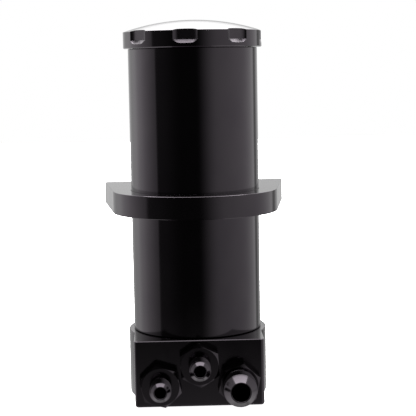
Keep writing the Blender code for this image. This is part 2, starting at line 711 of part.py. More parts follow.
def make_stand_pipe():
    """A pipe screwed into the cover, cross-drilled inside the filter, with a stud on its closed top."""
    collar_low = COVER_TOP + TOUCH_GAP
    collar_high = collar_low + PIPE_COLLAR_HEIGHT
    profile = [
        (0.0, PIPE_TOP + STUD_LENGTH),
        (STUD_RADIUS, PIPE_TOP + STUD_LENGTH),
        (STUD_RADIUS, PIPE_TOP),
        (PIPE_RADIUS, PIPE_TOP),
        (PIPE_RADIUS, collar_high),
        (PIPE_COLLAR_RADIUS, collar_high),
        (PIPE_COLLAR_RADIUS, collar_low),
        (PIPE_RADIUS, collar_low),
        (PIPE_RADIUS, COVER_BOTTOM),
        (PIPE_BORE, COVER_BOTTOM),
        (PIPE_BORE, PIPE_TOP - PIPE_RADIUS),
        (0.0, PIPE_TOP - PIPE_RADIUS),
    ]
    pipe = turned("pipe", profile, SMALL_SEGMENTS, closed=False)
    heights = [PIPE_HOLE_START + row * PIPE_HOLE_PITCH for row in range(PIPE_HOLE_ROWS)]
    drills = row_of_holes("pipe_drills", PIPE_HOLE_RADIUS, 2 * PIPE_RADIUS, heights, 4, 6)
    combine(pipe, "DIFFERENCE", drills)
    finish_part(pipe, "stand_pipe", "bare_aluminium")


def make_baffle_plate():
    rim = arc(BAFFLE_RADIUS, 0.0, 2 * math.pi, LARGE_SEGMENTS)[:-1]
    middle = arc(PIPE_RADIUS + TOUCH_GAP, 0.0, 2 * math.pi, SMALL_SEGMENTS)[:-1]
    outlines = [rim, middle]
    for index in range(BAFFLE_HOLE_COUNT):
        angle = index * 2 * math.pi / BAFFLE_HOLE_COUNT
        centre = (BAFFLE_HOLE_RING * math.cos(angle), BAFFLE_HOLE_RING * math.sin(angle))
        outlines.append(arc(BAFFLE_HOLE_RADIUS, 0.0, 2 * math.pi, TINY_SEGMENTS, centre)[:-1])
    plate = extruded("baffle", outlines, BAFFLE_BOTTOM, BAFFLE_BOTTOM + BAFFLE_THICKNESS)
    finish_part(plate, "baffle_plate", "bare_aluminium")


def make_nut(name, across_flats, hole_radius, low, height):
    nut = prism(f"{name}_blank", across_flats, low, low + height)
    hole = rod(f"{name}_hole", hole_radius, low - height, low + 2 * height, SMALL_SEGMENTS)
    combine(nut, "DIFFERENCE", hole)
    finish_part(nut, name, "zinc_steel")


def filter_cap_profile(thickness, lip):
    """A shallow tray with a middle hole for the grommet; a negative lip turns down."""
    hole = PIPE_RADIUS + GROMMET_WALL + 2 * TOUCH_GAP
    if lip > 0:
        return [
            (FILTER_RADIUS, thickness + lip),
            (FILTER_RADIUS, 0.0),
            (hole, 0.0),
            (hole, thickness),
            (FILTER_RADIUS - FILTER_CAP_WALL, thickness),
            (FILTER_RADIUS - FILTER_CAP_WALL, thickness + lip),
        ]
    return [
        (FILTER_RADIUS, thickness),
        (FILTER_RADIUS, lip),
        (FILTER_RADIUS - FILTER_CAP_WALL, lip),
        (FILTER_RADIUS - FILTER_CAP_WALL, 0.0),
        (hole, 0.0),
        (hole, thickness),
    ]


def make_filter_caps():
    lower = turned("lower_tray", filter_cap_profile(FILTER_CAP_THICKNESS, FILTER_CAP_LIP), MEDIUM_SEGMENTS)
    lower.location.z = FILTER_BOTTOM
    finish_part(lower, "filter_lower_cap", "zinc_steel")
    upper = turned("upper_tray", filter_cap_profile(FILTER_CAP_THICKNESS, -FILTER_CAP_LIP), MEDIUM_SEGMENTS)
    upper.location.z = FILTER_BOTTOM + FILTER_HEIGHT - FILTER_CAP_THICKNESS
    finish_part(upper, "filter_upper_cap", "zinc_steel")


def media_limits():
    low = FILTER_BOTTOM + FILTER_CAP_THICKNESS + TOUCH_GAP
    high = FILTER_BOTTOM + FILTER_HEIGHT - FILTER_CAP_THICKNESS - TOUCH_GAP
    return low, high


def pleat_outline(outer, depth):
    step = math.pi / PLEAT_COUNT
    points = []
    for index in range(2 * PLEAT_COUNT):
        radius = outer - depth * (index % 2)
        points.append((radius * math.cos(index * step), radius * math.sin(index * step)))
    return points


def make_filter_media():
    outer = pleat_outline(PLEAT_OUTER_RADIUS, PLEAT_DEPTH)
    inner = pleat_outline(PLEAT_OUTER_RADIUS - PLEAT_WALL, PLEAT_DEPTH)
    media = extruded("pleats", [outer, inner], *media_limits())
    finish_part(media, "filter_media", "filter_paper")


def make_filter_core():
    low, high = media_limits()
    core = ring("core_tube", CORE_RADIUS, CORE_RADIUS - CORE_WALL, low, high, MEDIUM_SEGMENTS)
    pitch = (high - low) / (CORE_HOLE_ROWS + 1)
    heights = [low + pitch * (row + 1) for row in range(CORE_HOLE_ROWS)]
    drills = row_of_holes("core_drills", CORE_HOLE_RADIUS, 2 * CORE_RADIUS, heights, CORE_HOLES_ROUND, 6)
    combine(core, "DIFFERENCE", drills)
    finish_part(core, "filter_core", "zinc_steel")


def make_grommet(name, tray_low):
    """A rubber bush whose grooved middle snaps into a tray and whose bore slides on the pipe."""
    bore = PIPE_RADIUS + TOUCH_GAP
    waist = bore + GROMMET_WALL
    lip = waist + GROMMET_OVERHANG
    low = tray_low
    high = tray_low + FILTER_CAP_THICKNESS + TOUCH_GAP
    profile = [
        (lip, high + GROMMET_OVERHANG),
        (lip, high),
        (waist, high),
        (waist, low),
        (bore, low),
        (bore, high + GROMMET_OVERHANG),
    ]
    grommet = turned(f"{name}_turned", profile, SMALL_SEGMENTS)
    finish_part(grommet, name, "nitrile_rubber")


def spring_low():
    return FILTER_BOTTOM + FILTER_HEIGHT + 2 * GROMMET_OVERHANG + TOUCH_GAP


def make_filter_spring():
    curve = bpy.data.curves.new("spring_wire", "CURVE")
    curve.dimensions = "3D"
    curve.bevel_depth = SPRING_WIRE
    curve.bevel_resolution = 1
    curve.use_fill_caps = True
    spline = curve.splines.new("POLY")
    count = SPRING_TURNS * SPRING_POINTS_ROUND
    spline.points.add(count)
    rise = SPRING_HEIGHT - 2 * SPRING_WIRE
    for index, point in enumerate(spline.points):
        turn = 2 * math.pi * index / SPRING_POINTS_ROUND
        height = SPRING_WIRE + rise * index / count
        point.co = (SPRING_RADIUS * math.cos(turn), SPRING_RADIUS * math.sin(turn), height, 1.0)
    spring = helper("spring_coil", curve)
    spring.location.z = spring_low()
    finish_part(spring, "filter_spring", "spring_steel")


def make_spring_seat():
    low = spring_low() + SPRING_HEIGHT + TOUCH_GAP
    seat = ring("seat", SEAT_RADIUS, STUD_RADIUS + TOUCH_GAP, 0.0, SEAT_THICKNESS, MEDIUM_SEGMENTS)
    seat.location.z = low
    finish_part(seat, "spring_seat", "zinc_steel")
    nut_low = low + SEAT_THICKNESS + TOUCH_GAP
    make_nut("stud_nut", STUD_NUT_FLATS, STUD_RADIUS + TOUCH_GAP, nut_low, STUD_NUT_HEIGHT)


def make_filter():
    make_filter_caps()
    make_filter_media()
    make_filter_core()
    make_grommet("filter_lower_grommet", FILTER_BOTTOM)
    make_grommet("filter_upper_grommet", FILTER_BOTTOM + FILTER_HEIGHT - FILTER_CAP_THICKNESS)
    make_filter_spring()
    make_spring_seat()


clear_scene()
PARTS = make_collection("hydraulic_reservoir")
CUTTERS = make_collection("cutters", cutters=True)
make_base_manifold()
make_tank_spigot()
make_reservoir_tube()
make_tube_base_seal()
make_mounting_bracket()
make_bracket_set_screws()
make_fittings()
make_cap()
make_cap_seal()
make_gallery_cover()
make_cover_screws()
make_stand_pipe()
make_baffle_plate()
make_nut("baffle_nut", BAFFLE_NUT_FLATS, PIPE_RADIUS + TOUCH_GAP, BAFFLE_NUT_BOTTOM, BAFFLE_NUT_HEIGHT)
make_filter()
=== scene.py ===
"""Hydraulic reservoir: a black anodised tank on a ported base, with a screw cap and a filter."""

import math

import bpy
from mathutils import Matrix, Vector


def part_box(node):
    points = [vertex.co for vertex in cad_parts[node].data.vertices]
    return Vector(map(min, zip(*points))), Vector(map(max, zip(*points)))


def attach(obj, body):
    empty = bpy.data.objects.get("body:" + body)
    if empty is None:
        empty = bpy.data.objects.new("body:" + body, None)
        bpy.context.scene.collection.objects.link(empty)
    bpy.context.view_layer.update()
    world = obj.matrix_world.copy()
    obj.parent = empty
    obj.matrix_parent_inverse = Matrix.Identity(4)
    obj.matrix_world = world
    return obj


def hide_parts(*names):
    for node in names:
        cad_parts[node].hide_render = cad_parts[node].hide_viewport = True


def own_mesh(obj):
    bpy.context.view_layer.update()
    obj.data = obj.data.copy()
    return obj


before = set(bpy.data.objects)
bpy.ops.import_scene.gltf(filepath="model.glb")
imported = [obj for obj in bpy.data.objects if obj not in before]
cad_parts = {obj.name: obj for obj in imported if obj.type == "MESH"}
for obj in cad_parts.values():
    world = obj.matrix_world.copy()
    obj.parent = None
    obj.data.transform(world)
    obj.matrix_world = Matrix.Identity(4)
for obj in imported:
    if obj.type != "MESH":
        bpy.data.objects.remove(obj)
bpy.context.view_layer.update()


# ------------------------------------------------------------
# Tank tube: 3.5 in drawn aluminium tube with a 1/8 in wall, turned square and chamfered at both
# ends and threaded inside the top for the cap. It is black anodised, with faint marks along it
# from drawing. The base's spigot holds it from below.


def start_clear():
    """Drops the selection, because an operator acts on all that is selected."""
    bpy.ops.object.select_all(action="DESELECT")


def choose(piece):
    start_clear()
    piece.select_set(True)
    bpy.context.view_layer.objects.active = piece


def settle(piece):
    """Puts a piece's place, turn and size into its mesh."""
    choose(piece)
    bpy.ops.object.transform_apply(location=True, rotation=True, scale=True)
    return piece


def turn_out():
    """Turns the faces of the piece being edited outwards and leaves edit mode."""
    bpy.ops.mesh.select_all(action="SELECT")
    bpy.ops.mesh.normals_make_consistent(inside=False)
    bpy.ops.object.mode_set(mode="OBJECT")


def merge_points():
    bpy.ops.mesh.select_all(action="SELECT")
    bpy.ops.mesh.remove_doubles(threshold=0.000002)


def draw(name, outline):
    """Starts a piece with a line through (radius, height) points, and leaves it in edit mode."""
    start_clear()
    bpy.context.tool_settings.mesh_select_mode = (True, False, False)
    bpy.ops.mesh.primitive_plane_add(size=0.001)
    piece = bpy.context.object
    piece.name = name
    piece.data.name = name
    bpy.ops.object.mode_set(mode="EDIT")
    bpy.ops.mesh.select_all(action="SELECT")
    bpy.ops.mesh.merge(type="CENTER")
    bpy.ops.transform.translate(value=(outline[0][0], 0.0, outline[0][1]))
    for (radius, height), (next_radius, next_height) in zip(outline, outline[1:]):
        step = (next_radius - radius, 0.0, next_height - height)
        bpy.ops.mesh.extrude_region_move(TRANSFORM_OT_translate={"value": step})
    merge_points()
    return piece


def lathe(name, section, steps=96):
    """Draws a half section of (radius, height) points and spins it round Z.

    A section that starts or ends away from the axis is closed back to its first point.
    """
    outline = list(section)
    if section[0][0] > 0.0 or section[-1][0] > 0.0:
        outline.append(section[0])
    piece = draw(name, outline)
    bpy.ops.mesh.spin(steps=steps, angle=2 * math.pi, center=(0.0, 0.0, 0.0), axis=(0.0, 0.0, 1.0))
    merge_points()
    turn_out()
    return piece


def finish_with(piece, kind, **settings):
    """Adds one modifier and applies it."""
    choose(piece)
    modifier = piece.modifiers.new(kind.title(), kind)
    for key, value in settings.items():
        setattr(modifier, key, value)
    bpy.ops.object.modifier_apply(modifier=modifier.name)
    return piece


def combine(piece, operation, *others):
    """Cuts, joins or trims a piece with others, which are used up."""
    for other in others:
        settings = {"operation": operation, "solver": "EXACT", "material_mode": "TRANSFER"}
        finish_with(piece, "BOOLEAN", object=other, **settings)
        bpy.data.objects.remove(other, do_unlink=True)
        bpy.ops.object.mode_set(mode="EDIT")
        bpy.ops.mesh.select_all(action="SELECT")
        bpy.ops.mesh.remove_doubles(threshold=0.000003)
        bpy.ops.mesh.dissolve_degenerate(threshold=0.000003)
        bpy.ops.object.mode_set(mode="OBJECT")
    return piece


def gang(*tools):
    """Joins separate tools that don't touch into one, so that they cut together."""
    choose(tools[0])
    for tool in tools[1:]:
        tool.select_set(True)
    bpy.ops.object.join()
    return tools[0]


def cut(piece, *tools):
    return combine(piece, "DIFFERENCE", *tools)


def weld(piece, *others):
    return combine(piece, "UNION", *others)


def smooth(piece, angle=26.0):
    """Shades the turned faces smoothly and keeps the flats flat right up to their broken edges."""
    choose(piece)
    bpy.ops.object.shade_smooth_by_angle(angle=math.radians(angle))
    return finish_with(piece, "WEIGHTED_NORMAL", mode="FACE_AREA", weight=100, keep_sharp=True)


def coil(piece, turns, pitch, steps):
    """Screws an outline up round Z and closes the two ends."""
    settings = {"steps": steps, "render_steps": steps, "use_merge_vertices": False}
    finish_with(piece, "SCREW", axis="Z", iterations=turns, screw_offset=pitch, **settings)
    bpy.ops.object.mode_set(mode="EDIT")
    bpy.ops.mesh.select_all(action="DESELECT")
    bpy.ops.mesh.select_non_manifold()
    bpy.ops.mesh.fill_holes(sides=0)
    turn_out()
    return piece


def cut_thread(piece, crest, depth, pitch, low, high, steps=64):
    """Cuts the spiral groove of a thread round Z.

    A positive depth cuts inwards from a shaft's crest radius, and a negative one outwards from
    the radius of a bore.
    """
    clear = crest + math.copysign(0.00004, depth)
    wide = 0.45 * pitch
    root = 0.11 * pitch
    outline = [
        (clear, low + wide),
        (crest - depth, low + root),
        (crest - depth, low - root),
        (clear, low - wide),
        (clear, low + wide),
    ]
    tool = draw("threading_tool", outline)
    bpy.ops.object.mode_set(mode="OBJECT")
    cut(piece, coil(tool, max(1, round((high - low) / pitch)), pitch, steps))


class Value:
    """A number that varies over a surface. Sums and products of these add Math nodes."""

    def __init__(self, nodes, socket):
        self.nodes = nodes
        self.socket = socket

    def with_other(self, operation, other, other_first=False):
        pair = (other, self) if other_first else (self, other)
        return self.nodes.add("ShaderNodeMath", {"operation": operation}, dict(enumerate(pair)))

    def __add__(self, other):
        return self.with_other("ADD", other)

    __radd__ = __add__

    def __sub__(self, other):
        return self.with_other("SUBTRACT", other)

    def __rsub__(self, other):
        return self.with_other("SUBTRACT", other, True)

    def __mul__(self, other):
        return self.with_other("MULTIPLY", other)

    __rmul__ = __mul__

    def __truediv__(self, other):
        return self.with_other("DIVIDE", other)

    def __rtruediv__(self, other):
        return self.with_other("DIVIDE", other, True)


class NodeSet:
    """The nodes of one finish or of the studio round the object."""

    def __init__(self, tree):
        self.tree = tree

    def add(self, kind, settings=None, inputs=None, output=0):
        """Makes one node: its settings first, then the values or links of its sockets."""
        node = self.tree.nodes.new(kind)
        for key, value in (settings or {}).items():
            setattr(node, key, value)
        for key, value in (inputs or {}).items():
            self.feed(node.inputs[key], value)
        return Value(self, node.outputs[output])

    def feed(self, socket, value):
        if isinstance(value, Value):
            self.tree.links.new(value.socket, socket)
        else:
            socket.default_value = value

    def spread(self, value, low, high, new_low, new_high, kind="SMOOTHSTEP"):
        """Maps low..high to new_low..new_high, and holds it there beyond."""
        ends = {"From Min": low, "From Max": high, "To Min": new_low, "To Max": new_high}
        settings = {"interpolation_type": kind}
        return self.add("ShaderNodeMapRange", settings, {"Value": value, **ends})

    def tint(self, amount, first, second):
        """Mixes two colours. The Mix node has sockets of one name, so these are found by type."""
        node = self.tree.nodes.new("ShaderNodeMix")
        node.data_type = "RGBA"
        first_socket, second_socket = [entry for entry in node.inputs if entry.type == "RGBA"]
        self.feed(node.inputs[0], amount)
        self.feed(first_socket, (*first, 1.0))
        self.feed(second_socket, (*second, 1.0))
        return Value(self, [entry for entry in node.outputs if entry.type == "RGBA"][0])


class Finish(NodeSet):
    """One surface finish, with its even values set on the shader's own sockets."""

    def __init__(self, name, **even):
        self.material = bpy.data.materials.new(name)
        self.material.use_nodes = True
        super().__init__(self.material.node_tree)
        self.shader = self.tree.nodes["Principled BSDF"]
        self.place = self.add("ShaderNodeTexCoord", output="Object")
        for key, value in even.items():
            self.shader.inputs[key.replace("_", " ")].default_value = value

    def vary(self, **fed):
        for key, value in fed.items():
            self.feed(self.shader.inputs[key.replace("_", " ")], value)
        return self

    def grain(self, scale, detail=3.0, roughness=0.5):
        """Noise with scale cycles to the metre: one number, or one each along X, Y and Z."""
        sizes = scale if isinstance(scale, tuple) else (scale, scale, scale)
        place = self.add(
            "ShaderNodeVectorMath", {"operation": "MULTIPLY"}, {0: self.place, 1: sizes}
        )
        settings = {"Vector": place, "Scale": 1.0, "Detail": detail, "Roughness": roughness}
        return self.add("ShaderNodeTexNoise", None, settings)

    def relief(self, height, strength, depth):
        """A shallow relief, depth metres from its lowest to its highest point."""
        settings = {"Height": height, "Strength": strength, "Distance": depth}
        return self.vary(Normal=self.add("ShaderNodeBump", None, settings))

    def coat(self, piece):
        piece.data.materials.clear()
        piece.data.materials.append(self.material)
        return piece


def black_anodised(name, marks, sheen=0.085):
    """Dyed black oxide over metal: gloss with no body colour. marks stretches the tool marks."""
    finish = Finish(name, Metallic=1.0)
    fine = finish.grain(marks, detail=4.0, roughness=0.6)
    film = finish.spread(finish.grain((45.0, 45.0, 30.0), detail=2.0), 0.3, 0.7, 0.0, 1.0)
    finish.vary(
        Base_Color=finish.tint(film, (0.0428, 0.0377, 0.0433), (0.0468, 0.0415, 0.0466)),
        Roughness=sheen + 0.03 * fine + 0.02 * film,
    )
    return finish.relief(fine, 0.25, 0.0000015)


def place_on(piece, body, node):
    """Fixes a finished piece to its body, in place of the solid that it stands for."""
    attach(piece, body)
    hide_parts(node)


touch_gap = 0.0003
tube_low, tube_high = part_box("reservoir_tube")
tube_radius = tube_high.x
tube_bore = tube_radius - 0.003175
tube_chamfer = 0.0004
tube_bottom = tube_low.z
tube_top = tube_high.z
cap_thread_pitch = 0.0254 / 12
cap_thread_depth = 0.0011
tube_thread = (tube_top - 0.0135, tube_top - 0.0062)

tube = lathe(
    "tank_tube",
    [
        (tube_radius, tube_top - tube_chamfer),
        (tube_radius, (tube_top + tube_bottom) / 2),
        (tube_radius, tube_bottom + tube_chamfer),
        (tube_radius - tube_chamfer, tube_bottom),
        (tube_bore + tube_chamfer, tube_bottom),
        (tube_bore, tube_bottom + tube_chamfer),
        (tube_bore, tube_top - 0.0145),
        (tube_bore, tube_top - tube_chamfer),
        (tube_bore + tube_chamfer, tube_top),
        (tube_radius - tube_chamfer, tube_top),
    ],
    steps=192,
)
cut_thread(tube, tube_bore, -cap_thread_depth, cap_thread_pitch, *tube_thread, 96)
smooth(tube)
black_anodised("black_anodised_drawn", (2600.0, 2600.0, 9.0)).coat(tube)
place_on(tube, "reservoir", "reservoir_tube")


# ------------------------------------------------------------
# Cap: turned from aluminium bar with a shallow domed top, then milled with eight finger scallops
# that stop on a ledge above the rim. Its plug carries an O-ring and the thread that screws into
# the tube, and the underside is bored out to save weight.

cap_low, cap_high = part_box("cap")
cap_radius = cap_high.x
cap_seat = tube_top + touch_gap
cap_rim_top = cap_seat + 0.0113
cap_edge = 0.0004
cap_rim_reach = cap_radius - cap_edge
cap_break = 0.0005
cap_recess_radius = 0.036
cap_recess_top = cap_seat + 0.0062
cap_recess_corner = 0.0015
plug_radius = tube_bore - touch_gap
plug_break = 0.0006
recess_break = 0.0004
plug_thread = (cap_low.z - 0.0004, cap_low.z + 0.0042)
ring_section = 0.0013
ring_radius = plug_radius - ring_section
groove_radius = ring_radius - ring_section - touch_gap
groove_half = ring_section + touch_gap
cap_ring_height = cap_seat - 0.0033
scallop_count = 8
scallop_start = math.radians(-96.4)
scallop_wall_reach = cap_radius - 0.0024
scallop_wall_foot = cap_rim_top - 0.0063
scallop_tool_radius = 0.005
scallop_tool_travel = 0.009
scallop_tool_point = 0.003
# How far a cutting tool stands past what it cuts, and how close two heights are when they match.
overrun = 0.001
same = 0.00001


def curve_points(centre, radius, start, end, count):
    """Points on an arc of a section, both ends included, in degrees."""
    angles = [math.radians(start + (end - start) * index / count) for index in range(count + 1)]
    return [(centre[0] + radius * math.cos(a), centre[1] + radius * math.sin(a)) for a in angles]


def dome_section(reach, rim, crown, count):
    """A shallow spherical top from its middle out to reach, crown metres above the rim."""
    radius = (reach**2 + crown**2) / (2 * crown)
    centre = rim + crown - radius
    radii = [reach * index / count for index in range(count + 1)]
    return [(r, centre + math.sqrt(radius**2 - r**2)) for r in radii]


def seal_groove(centre_height):
    """The groove in a spigot or plug, from its top edge down, with small corner breaks."""
    top, bottom = centre_height + groove_half, centre_height - groove_half
    break_edge = 0.0001
    return [
        (plug_radius, top + break_edge),
        (plug_radius - break_edge, top),
        (groove_radius, top),
        (groove_radius, bottom),
        (plug_radius - break_edge, bottom),
        (plug_radius, bottom - break_edge),
    ]


cap_section = dome_section(cap_rim_reach, cap_rim_top, cap_high.z - cap_rim_top, 20)
cap_section += curve_points((cap_rim_reach, cap_rim_top - cap_edge), cap_edge, 72.0, 0.0, 5)
cap_section += [
    (cap_radius, cap_seat + cap_break),
    (cap_radius - cap_break, cap_seat),
    (plug_radius, cap_seat),
]
cap_section += seal_groove(cap_ring_height)
cap_section += [
    (plug_radius, cap_low.z + plug_break),
    (plug_radius - plug_break, cap_low.z),
    (cap_recess_radius + recess_break, cap_low.z),
    (cap_recess_radius, cap_low.z + recess_break),
    (cap_recess_radius, cap_recess_top - cap_recess_corner),
    (cap_recess_radius - cap_recess_corner, cap_recess_top),
    (0.0, cap_recess_top),
]
cap = lathe("screw_cap", cap_section, steps=256)


def pick_edges(piece, wanted):
    """Opens a piece for editing with only the edges that wanted(start, end) asks for."""
    choose(piece)
    bpy.context.tool_settings.mesh_select_mode = (False, True, False)
    mesh = piece.data
    for group in (mesh.vertices, mesh.polygons):
        group.foreach_set("select", [False] * len(group))
    places = [point.co for point in mesh.vertices]
    chosen = [wanted(*(places[end] for end in edge.vertices)) for edge in mesh.edges]
    mesh.edges.foreach_set("select", chosen)
    bpy.ops.object.mode_set(mode="EDIT")


def break_edges(piece, width, steps, wanted):
    """Bevels the chosen edges: one step is a chamfer and more make a round."""
    pick_edges(piece, wanted)
    settings = {"offset_type": "OFFSET", "segments": steps, "profile": 0.5, "affect": "EDGES"}
    bpy.ops.mesh.bevel(offset=width, **settings)
    bpy.ops.object.mode_set(mode="OBJECT")
    return piece


def hull(piece):
    """Wraps all of a piece's points in one skin and clears the edges that its flats don't need."""
    choose(piece)
    bpy.ops.object.mode_set(mode="EDIT")
    bpy.ops.mesh.select_all(action="SELECT")
    bpy.ops.mesh.convex_hull()
    bpy.ops.mesh.select_all(action="SELECT")
    bpy.ops.mesh.dissolve_limited(angle_limit=math.radians(0.3))
    turn_out()
    return piece


def scallop_tool():
    """A mill with a 45 degree chamfered end, moved sideways past the rim in one straight pass."""
    clear_height = cap_high.z + overrun
    tip = scallop_wall_foot - scallop_tool_point
    ends = []
    for side in (-1, 1):
        end = lathe(
            "scallop_end",
            [
                (0.0, clear_height),
                (scallop_tool_radius, clear_height),
                (scallop_tool_radius, scallop_wall_foot),
                (scallop_tool_radius - scallop_tool_point, tip),
                (0.0, tip),
            ],
            steps=64,
        )
        end.location.x = scallop_wall_reach + scallop_tool_radius
        end.location.y = side * scallop_tool_travel / 2
        ends.append(settle(end))
    return hull(gang(*ends))


black_anodised("black_anodised_turned", 900.0).coat(cap)
pocket_finish = black_anodised("black_anodised_pocket", 1500.0, sheen=0.30)
for index in range(scallop_count):
    tool = pocket_finish.coat(scallop_tool())
    tool.rotation_euler.z = scallop_start + index * 2 * math.pi / scallop_count
    cut(cap, settle(tool))
cut_thread(cap, plug_radius, cap_thread_depth, cap_thread_pitch, *plug_thread, 96)
smooth(cap)
place_on(cap, "screw_cap", "cap")


# ------------------------------------------------------------
# Mounting bracket: a D-shaped collar milled from plate, slid over the tube and locked by two set
# screws. Its flat back bolts to a bulkhead through two tapped holes. All its edges are broken.

bracket_low, bracket_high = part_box("mounting_bracket")
bracket_middle = (bracket_low.z + bracket_high.z) / 2
bracket_depth = bracket_high.z - bracket_low.z
bracket_front_radius = -bracket_low.y
bracket_corner = 0.003
bracket_break = 0.0002
bracket_flare = math.radians(7.4)
corner_reach = bracket_corner * math.tan((math.pi / 2 + bracket_flare) / 2)
back_half_width = bracket_high.x + corner_reach - bracket_corner
collar_bore = tube_radius + 0.00015
collar_break = 0.0004
bolt_spread = 0.048
bolt_radius = 0.004
bolt_break = 0.0005
bolt_depth = 0.016
set_screw_angle = math.radians(20.0)
set_screw_radius = 0.0035
set_screw_length = 0.012
tap_radius = set_screw_radius + touch_gap
tap_mouth = 0.006


def level(height):
    """Tells whether an edge lies flat at a height."""
    return lambda start, end: abs(start.z - height) < same and abs(end.z - height) < same


def point_to(piece, start, direction):
    """Lays a piece made round Z along a direction from start."""
    piece.rotation_mode = "QUATERNION"
    piece.rotation_quaternion = Vector(direction).to_track_quat("Z", "Y")
    piece.location = start
    return settle(piece)


start_clear()
bpy.ops.mesh.primitive_cylinder_add(
    vertices=256,
    radius=bracket_front_radius,
    depth=bracket_depth,
    location=(0.0, 0.0, bracket_middle),
)
bracket = bpy.context.object
bracket.name = "bracket_plate"
settle(bracket)
start_clear()
bpy.ops.mesh.primitive_plane_add(
    size=1.0, location=(0.0, bracket_high.y, bracket_middle), rotation=(math.pi / 2, 0.0, 0.0)
)
back_face = bpy.context.object
back_face.scale = (2 * back_half_width, bracket_depth, 1.0)
settle(back_face)
hull(gang(bracket, back_face))
break_edges(
    bracket,
    corner_reach,
    8,
    lambda start, end: (start - end).xy.length < same and start.y > bracket_high.y - same,
)
break_edges(bracket, bracket_break, 1, level(bracket_high.z))
break_edges(bracket, bracket_break, 1, level(bracket_low.z))
cut(
    bracket,
    lathe(
        "collar_bore",
        [
            (0.0, bracket_high.z + overrun),
            (collar_bore + collar_break + overrun, bracket_high.z + overrun),
            (collar_bore, bracket_high.z - collar_break),
            (collar_bore, bracket_low.z + collar_break),
            (collar_bore + collar_break + overrun, bracket_low.z - overrun),
            (0.0, bracket_low.z - overrun),
        ],
        steps=192,
    ),
)
for side in (-1, 1):
    bolt_hole = lathe(
        "bolt_hole",
        [
            (0.0, overrun),
            (bolt_radius + bolt_break + overrun, overrun),
            (bolt_radius, -bolt_break),
            (bolt_radius, -bolt_depth),
            (0.0, -bolt_depth - bolt_radius * 0.6),
        ],
        steps=64,
    )
    mouth = (side * bolt_spread, bracket_high.y, bracket_middle)
    cut(bracket, point_to(bolt_hole, mouth, (0.0, 1.0, 0.0)))
    outwards = (side * math.sin(set_screw_angle), math.cos(set_screw_angle), 0.0)
    to_back = bracket_high.y / outwards[1]
    set_screw_tap = lathe(
        "set_screw_tap",
        [
            (0.0, tap_mouth),
            (tap_radius + tap_mouth, tap_mouth),
            (tap_radius, 0.0),
            (tap_radius, tube_radius - 0.002 - to_back),
            (0.0, tube_radius - 0.002 - to_back),
        ],
        steps=64,
    )
    mouth = (to_back * outwards[0], to_back * outwards[1], bracket_middle)
    cut(bracket, point_to(set_screw_tap, mouth, outwards))
smooth(bracket)
black_anodised("black_anodised_milled", (700.0, 700.0, 260.0), sheen=0.11).coat(bracket)
place_on(bracket, "reservoir", "mounting_bracket")


# ------------------------------------------------------------
# Base block: a disc turned under the tube, joined to a square-fronted port block, milled from one
# billet. Ports, passages, a gallery slot and the sump are cut into it, and the spigot on top takes
# the tube and its O-ring. The underside's edge is rounded and the top edge has a small chamfer.

base_low, base_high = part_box("base_manifold")
base_top = tube_bottom - touch_gap
base_disc_radius = base_high.y
base_half_width = 0.0436
base_front = base_low.y
base_corner = 0.0025
base_chamfer = 0.0004
base_round = 0.0016
sump_floor = 0.0423
base_break = 0.00025
base_ring_height = base_top + 0.003
side_port_x = 0.0262
side_port_height = 0.0164
middle_port_height = 0.0299
port_bore = 0.0111
port_mouth = 0.012
port_mouth_depth = 0.003
port_seat = 0.0008
drill_point = 0.55
port_depth = 0.0155
gallery_half_width = 0.006
gallery_floor = 0.034
return_passage = 0.005
feed_passage = 0.0075
left_riser_y = -0.010
feed_riser_x = 0.0235
feed_riser_y = -0.009
feed_riser_radius = 0.009
cover_screw_places = ((-0.0285, 0.0100), (-0.0080, 0.0270), (-0.0080, -0.0270))
cover_drill_radius = 0.0018
cover_tap_depth = 0.007


def port_tool(x, height, passage, passage_end):
    """A straight-thread port with its seal seat and chamfer, and the passage drilled on from it."""
    reach = passage_end - base_front
    tool = lathe(
        "port_tool",
        [
            (0.0, overrun),
            (port_mouth + base_break + overrun, overrun),
            (port_mouth, -base_break),
            (port_mouth, port_seat - port_mouth_depth),
            (port_bore, -port_mouth_depth),
            (port_bore, -port_depth),
            (passage, -port_depth - 0.001),
            (passage, -reach),
            (0.0, -reach - passage * drill_point),
        ],
    )
    return point_to(tool, (x, base_front, height), (0.0, -1.0, 0.0))


def drill(radius, low, high, x=0.0, y=0.0, steps=64, flat=False):
    """A drilled hole with its pointed end, or a milled one with a flat end."""
    point = low if flat else low - radius * drill_point
    tool = lathe("drill", [(0.0, high), (radius, high), (radius, low), (0.0, point)], steps)
    tool.location = (x, y, 0.0)
    return settle(tool)


def cover_drills(low, high):
    """The holes of the gallery cover's screws, as one tool."""
    return gang(*(drill(cover_drill_radius, low, high, *at, 32) for at in cover_screw_places))


base = lathe(
    "base_block",
    [(0.0, 0.0)]
    + curve_points((base_disc_radius - base_round, base_round), base_round, -90.0, 0.0, 6)
    + [
        (base_disc_radius, base_top - base_chamfer),
        (base_disc_radius - base_chamfer, base_top),
        (0.0, base_top),
    ],
    steps=256,
)
block_back = -0.006
start_clear()
bpy.ops.mesh.primitive_cube_add(
    size=1.0,
    location=(0.0, (base_front + block_back) / 2, base_top / 2),
    scale=(2 * base_half_width, block_back - base_front, base_top),
)
front_block = settle(bpy.context.object)
break_edges(
    front_block,
    base_corner,
    8,
    lambda start, end: abs(start.z - end.z) > 0.01 and start.y < base_front + same,
)
break_edges(front_block, base_chamfer, 1, level(base_top))
break_edges(front_block, base_round, 6, level(0.0))
weld(base, front_block)
counterbore = lathe(
    "counterbore",
    [
        (0.0, base_top + overrun),
        (tube_bore + base_break + overrun, base_top + overrun),
        (tube_bore, base_top - base_break),
        (tube_bore, sump_floor),
        (0.0, sump_floor),
    ],
    steps=192,
)
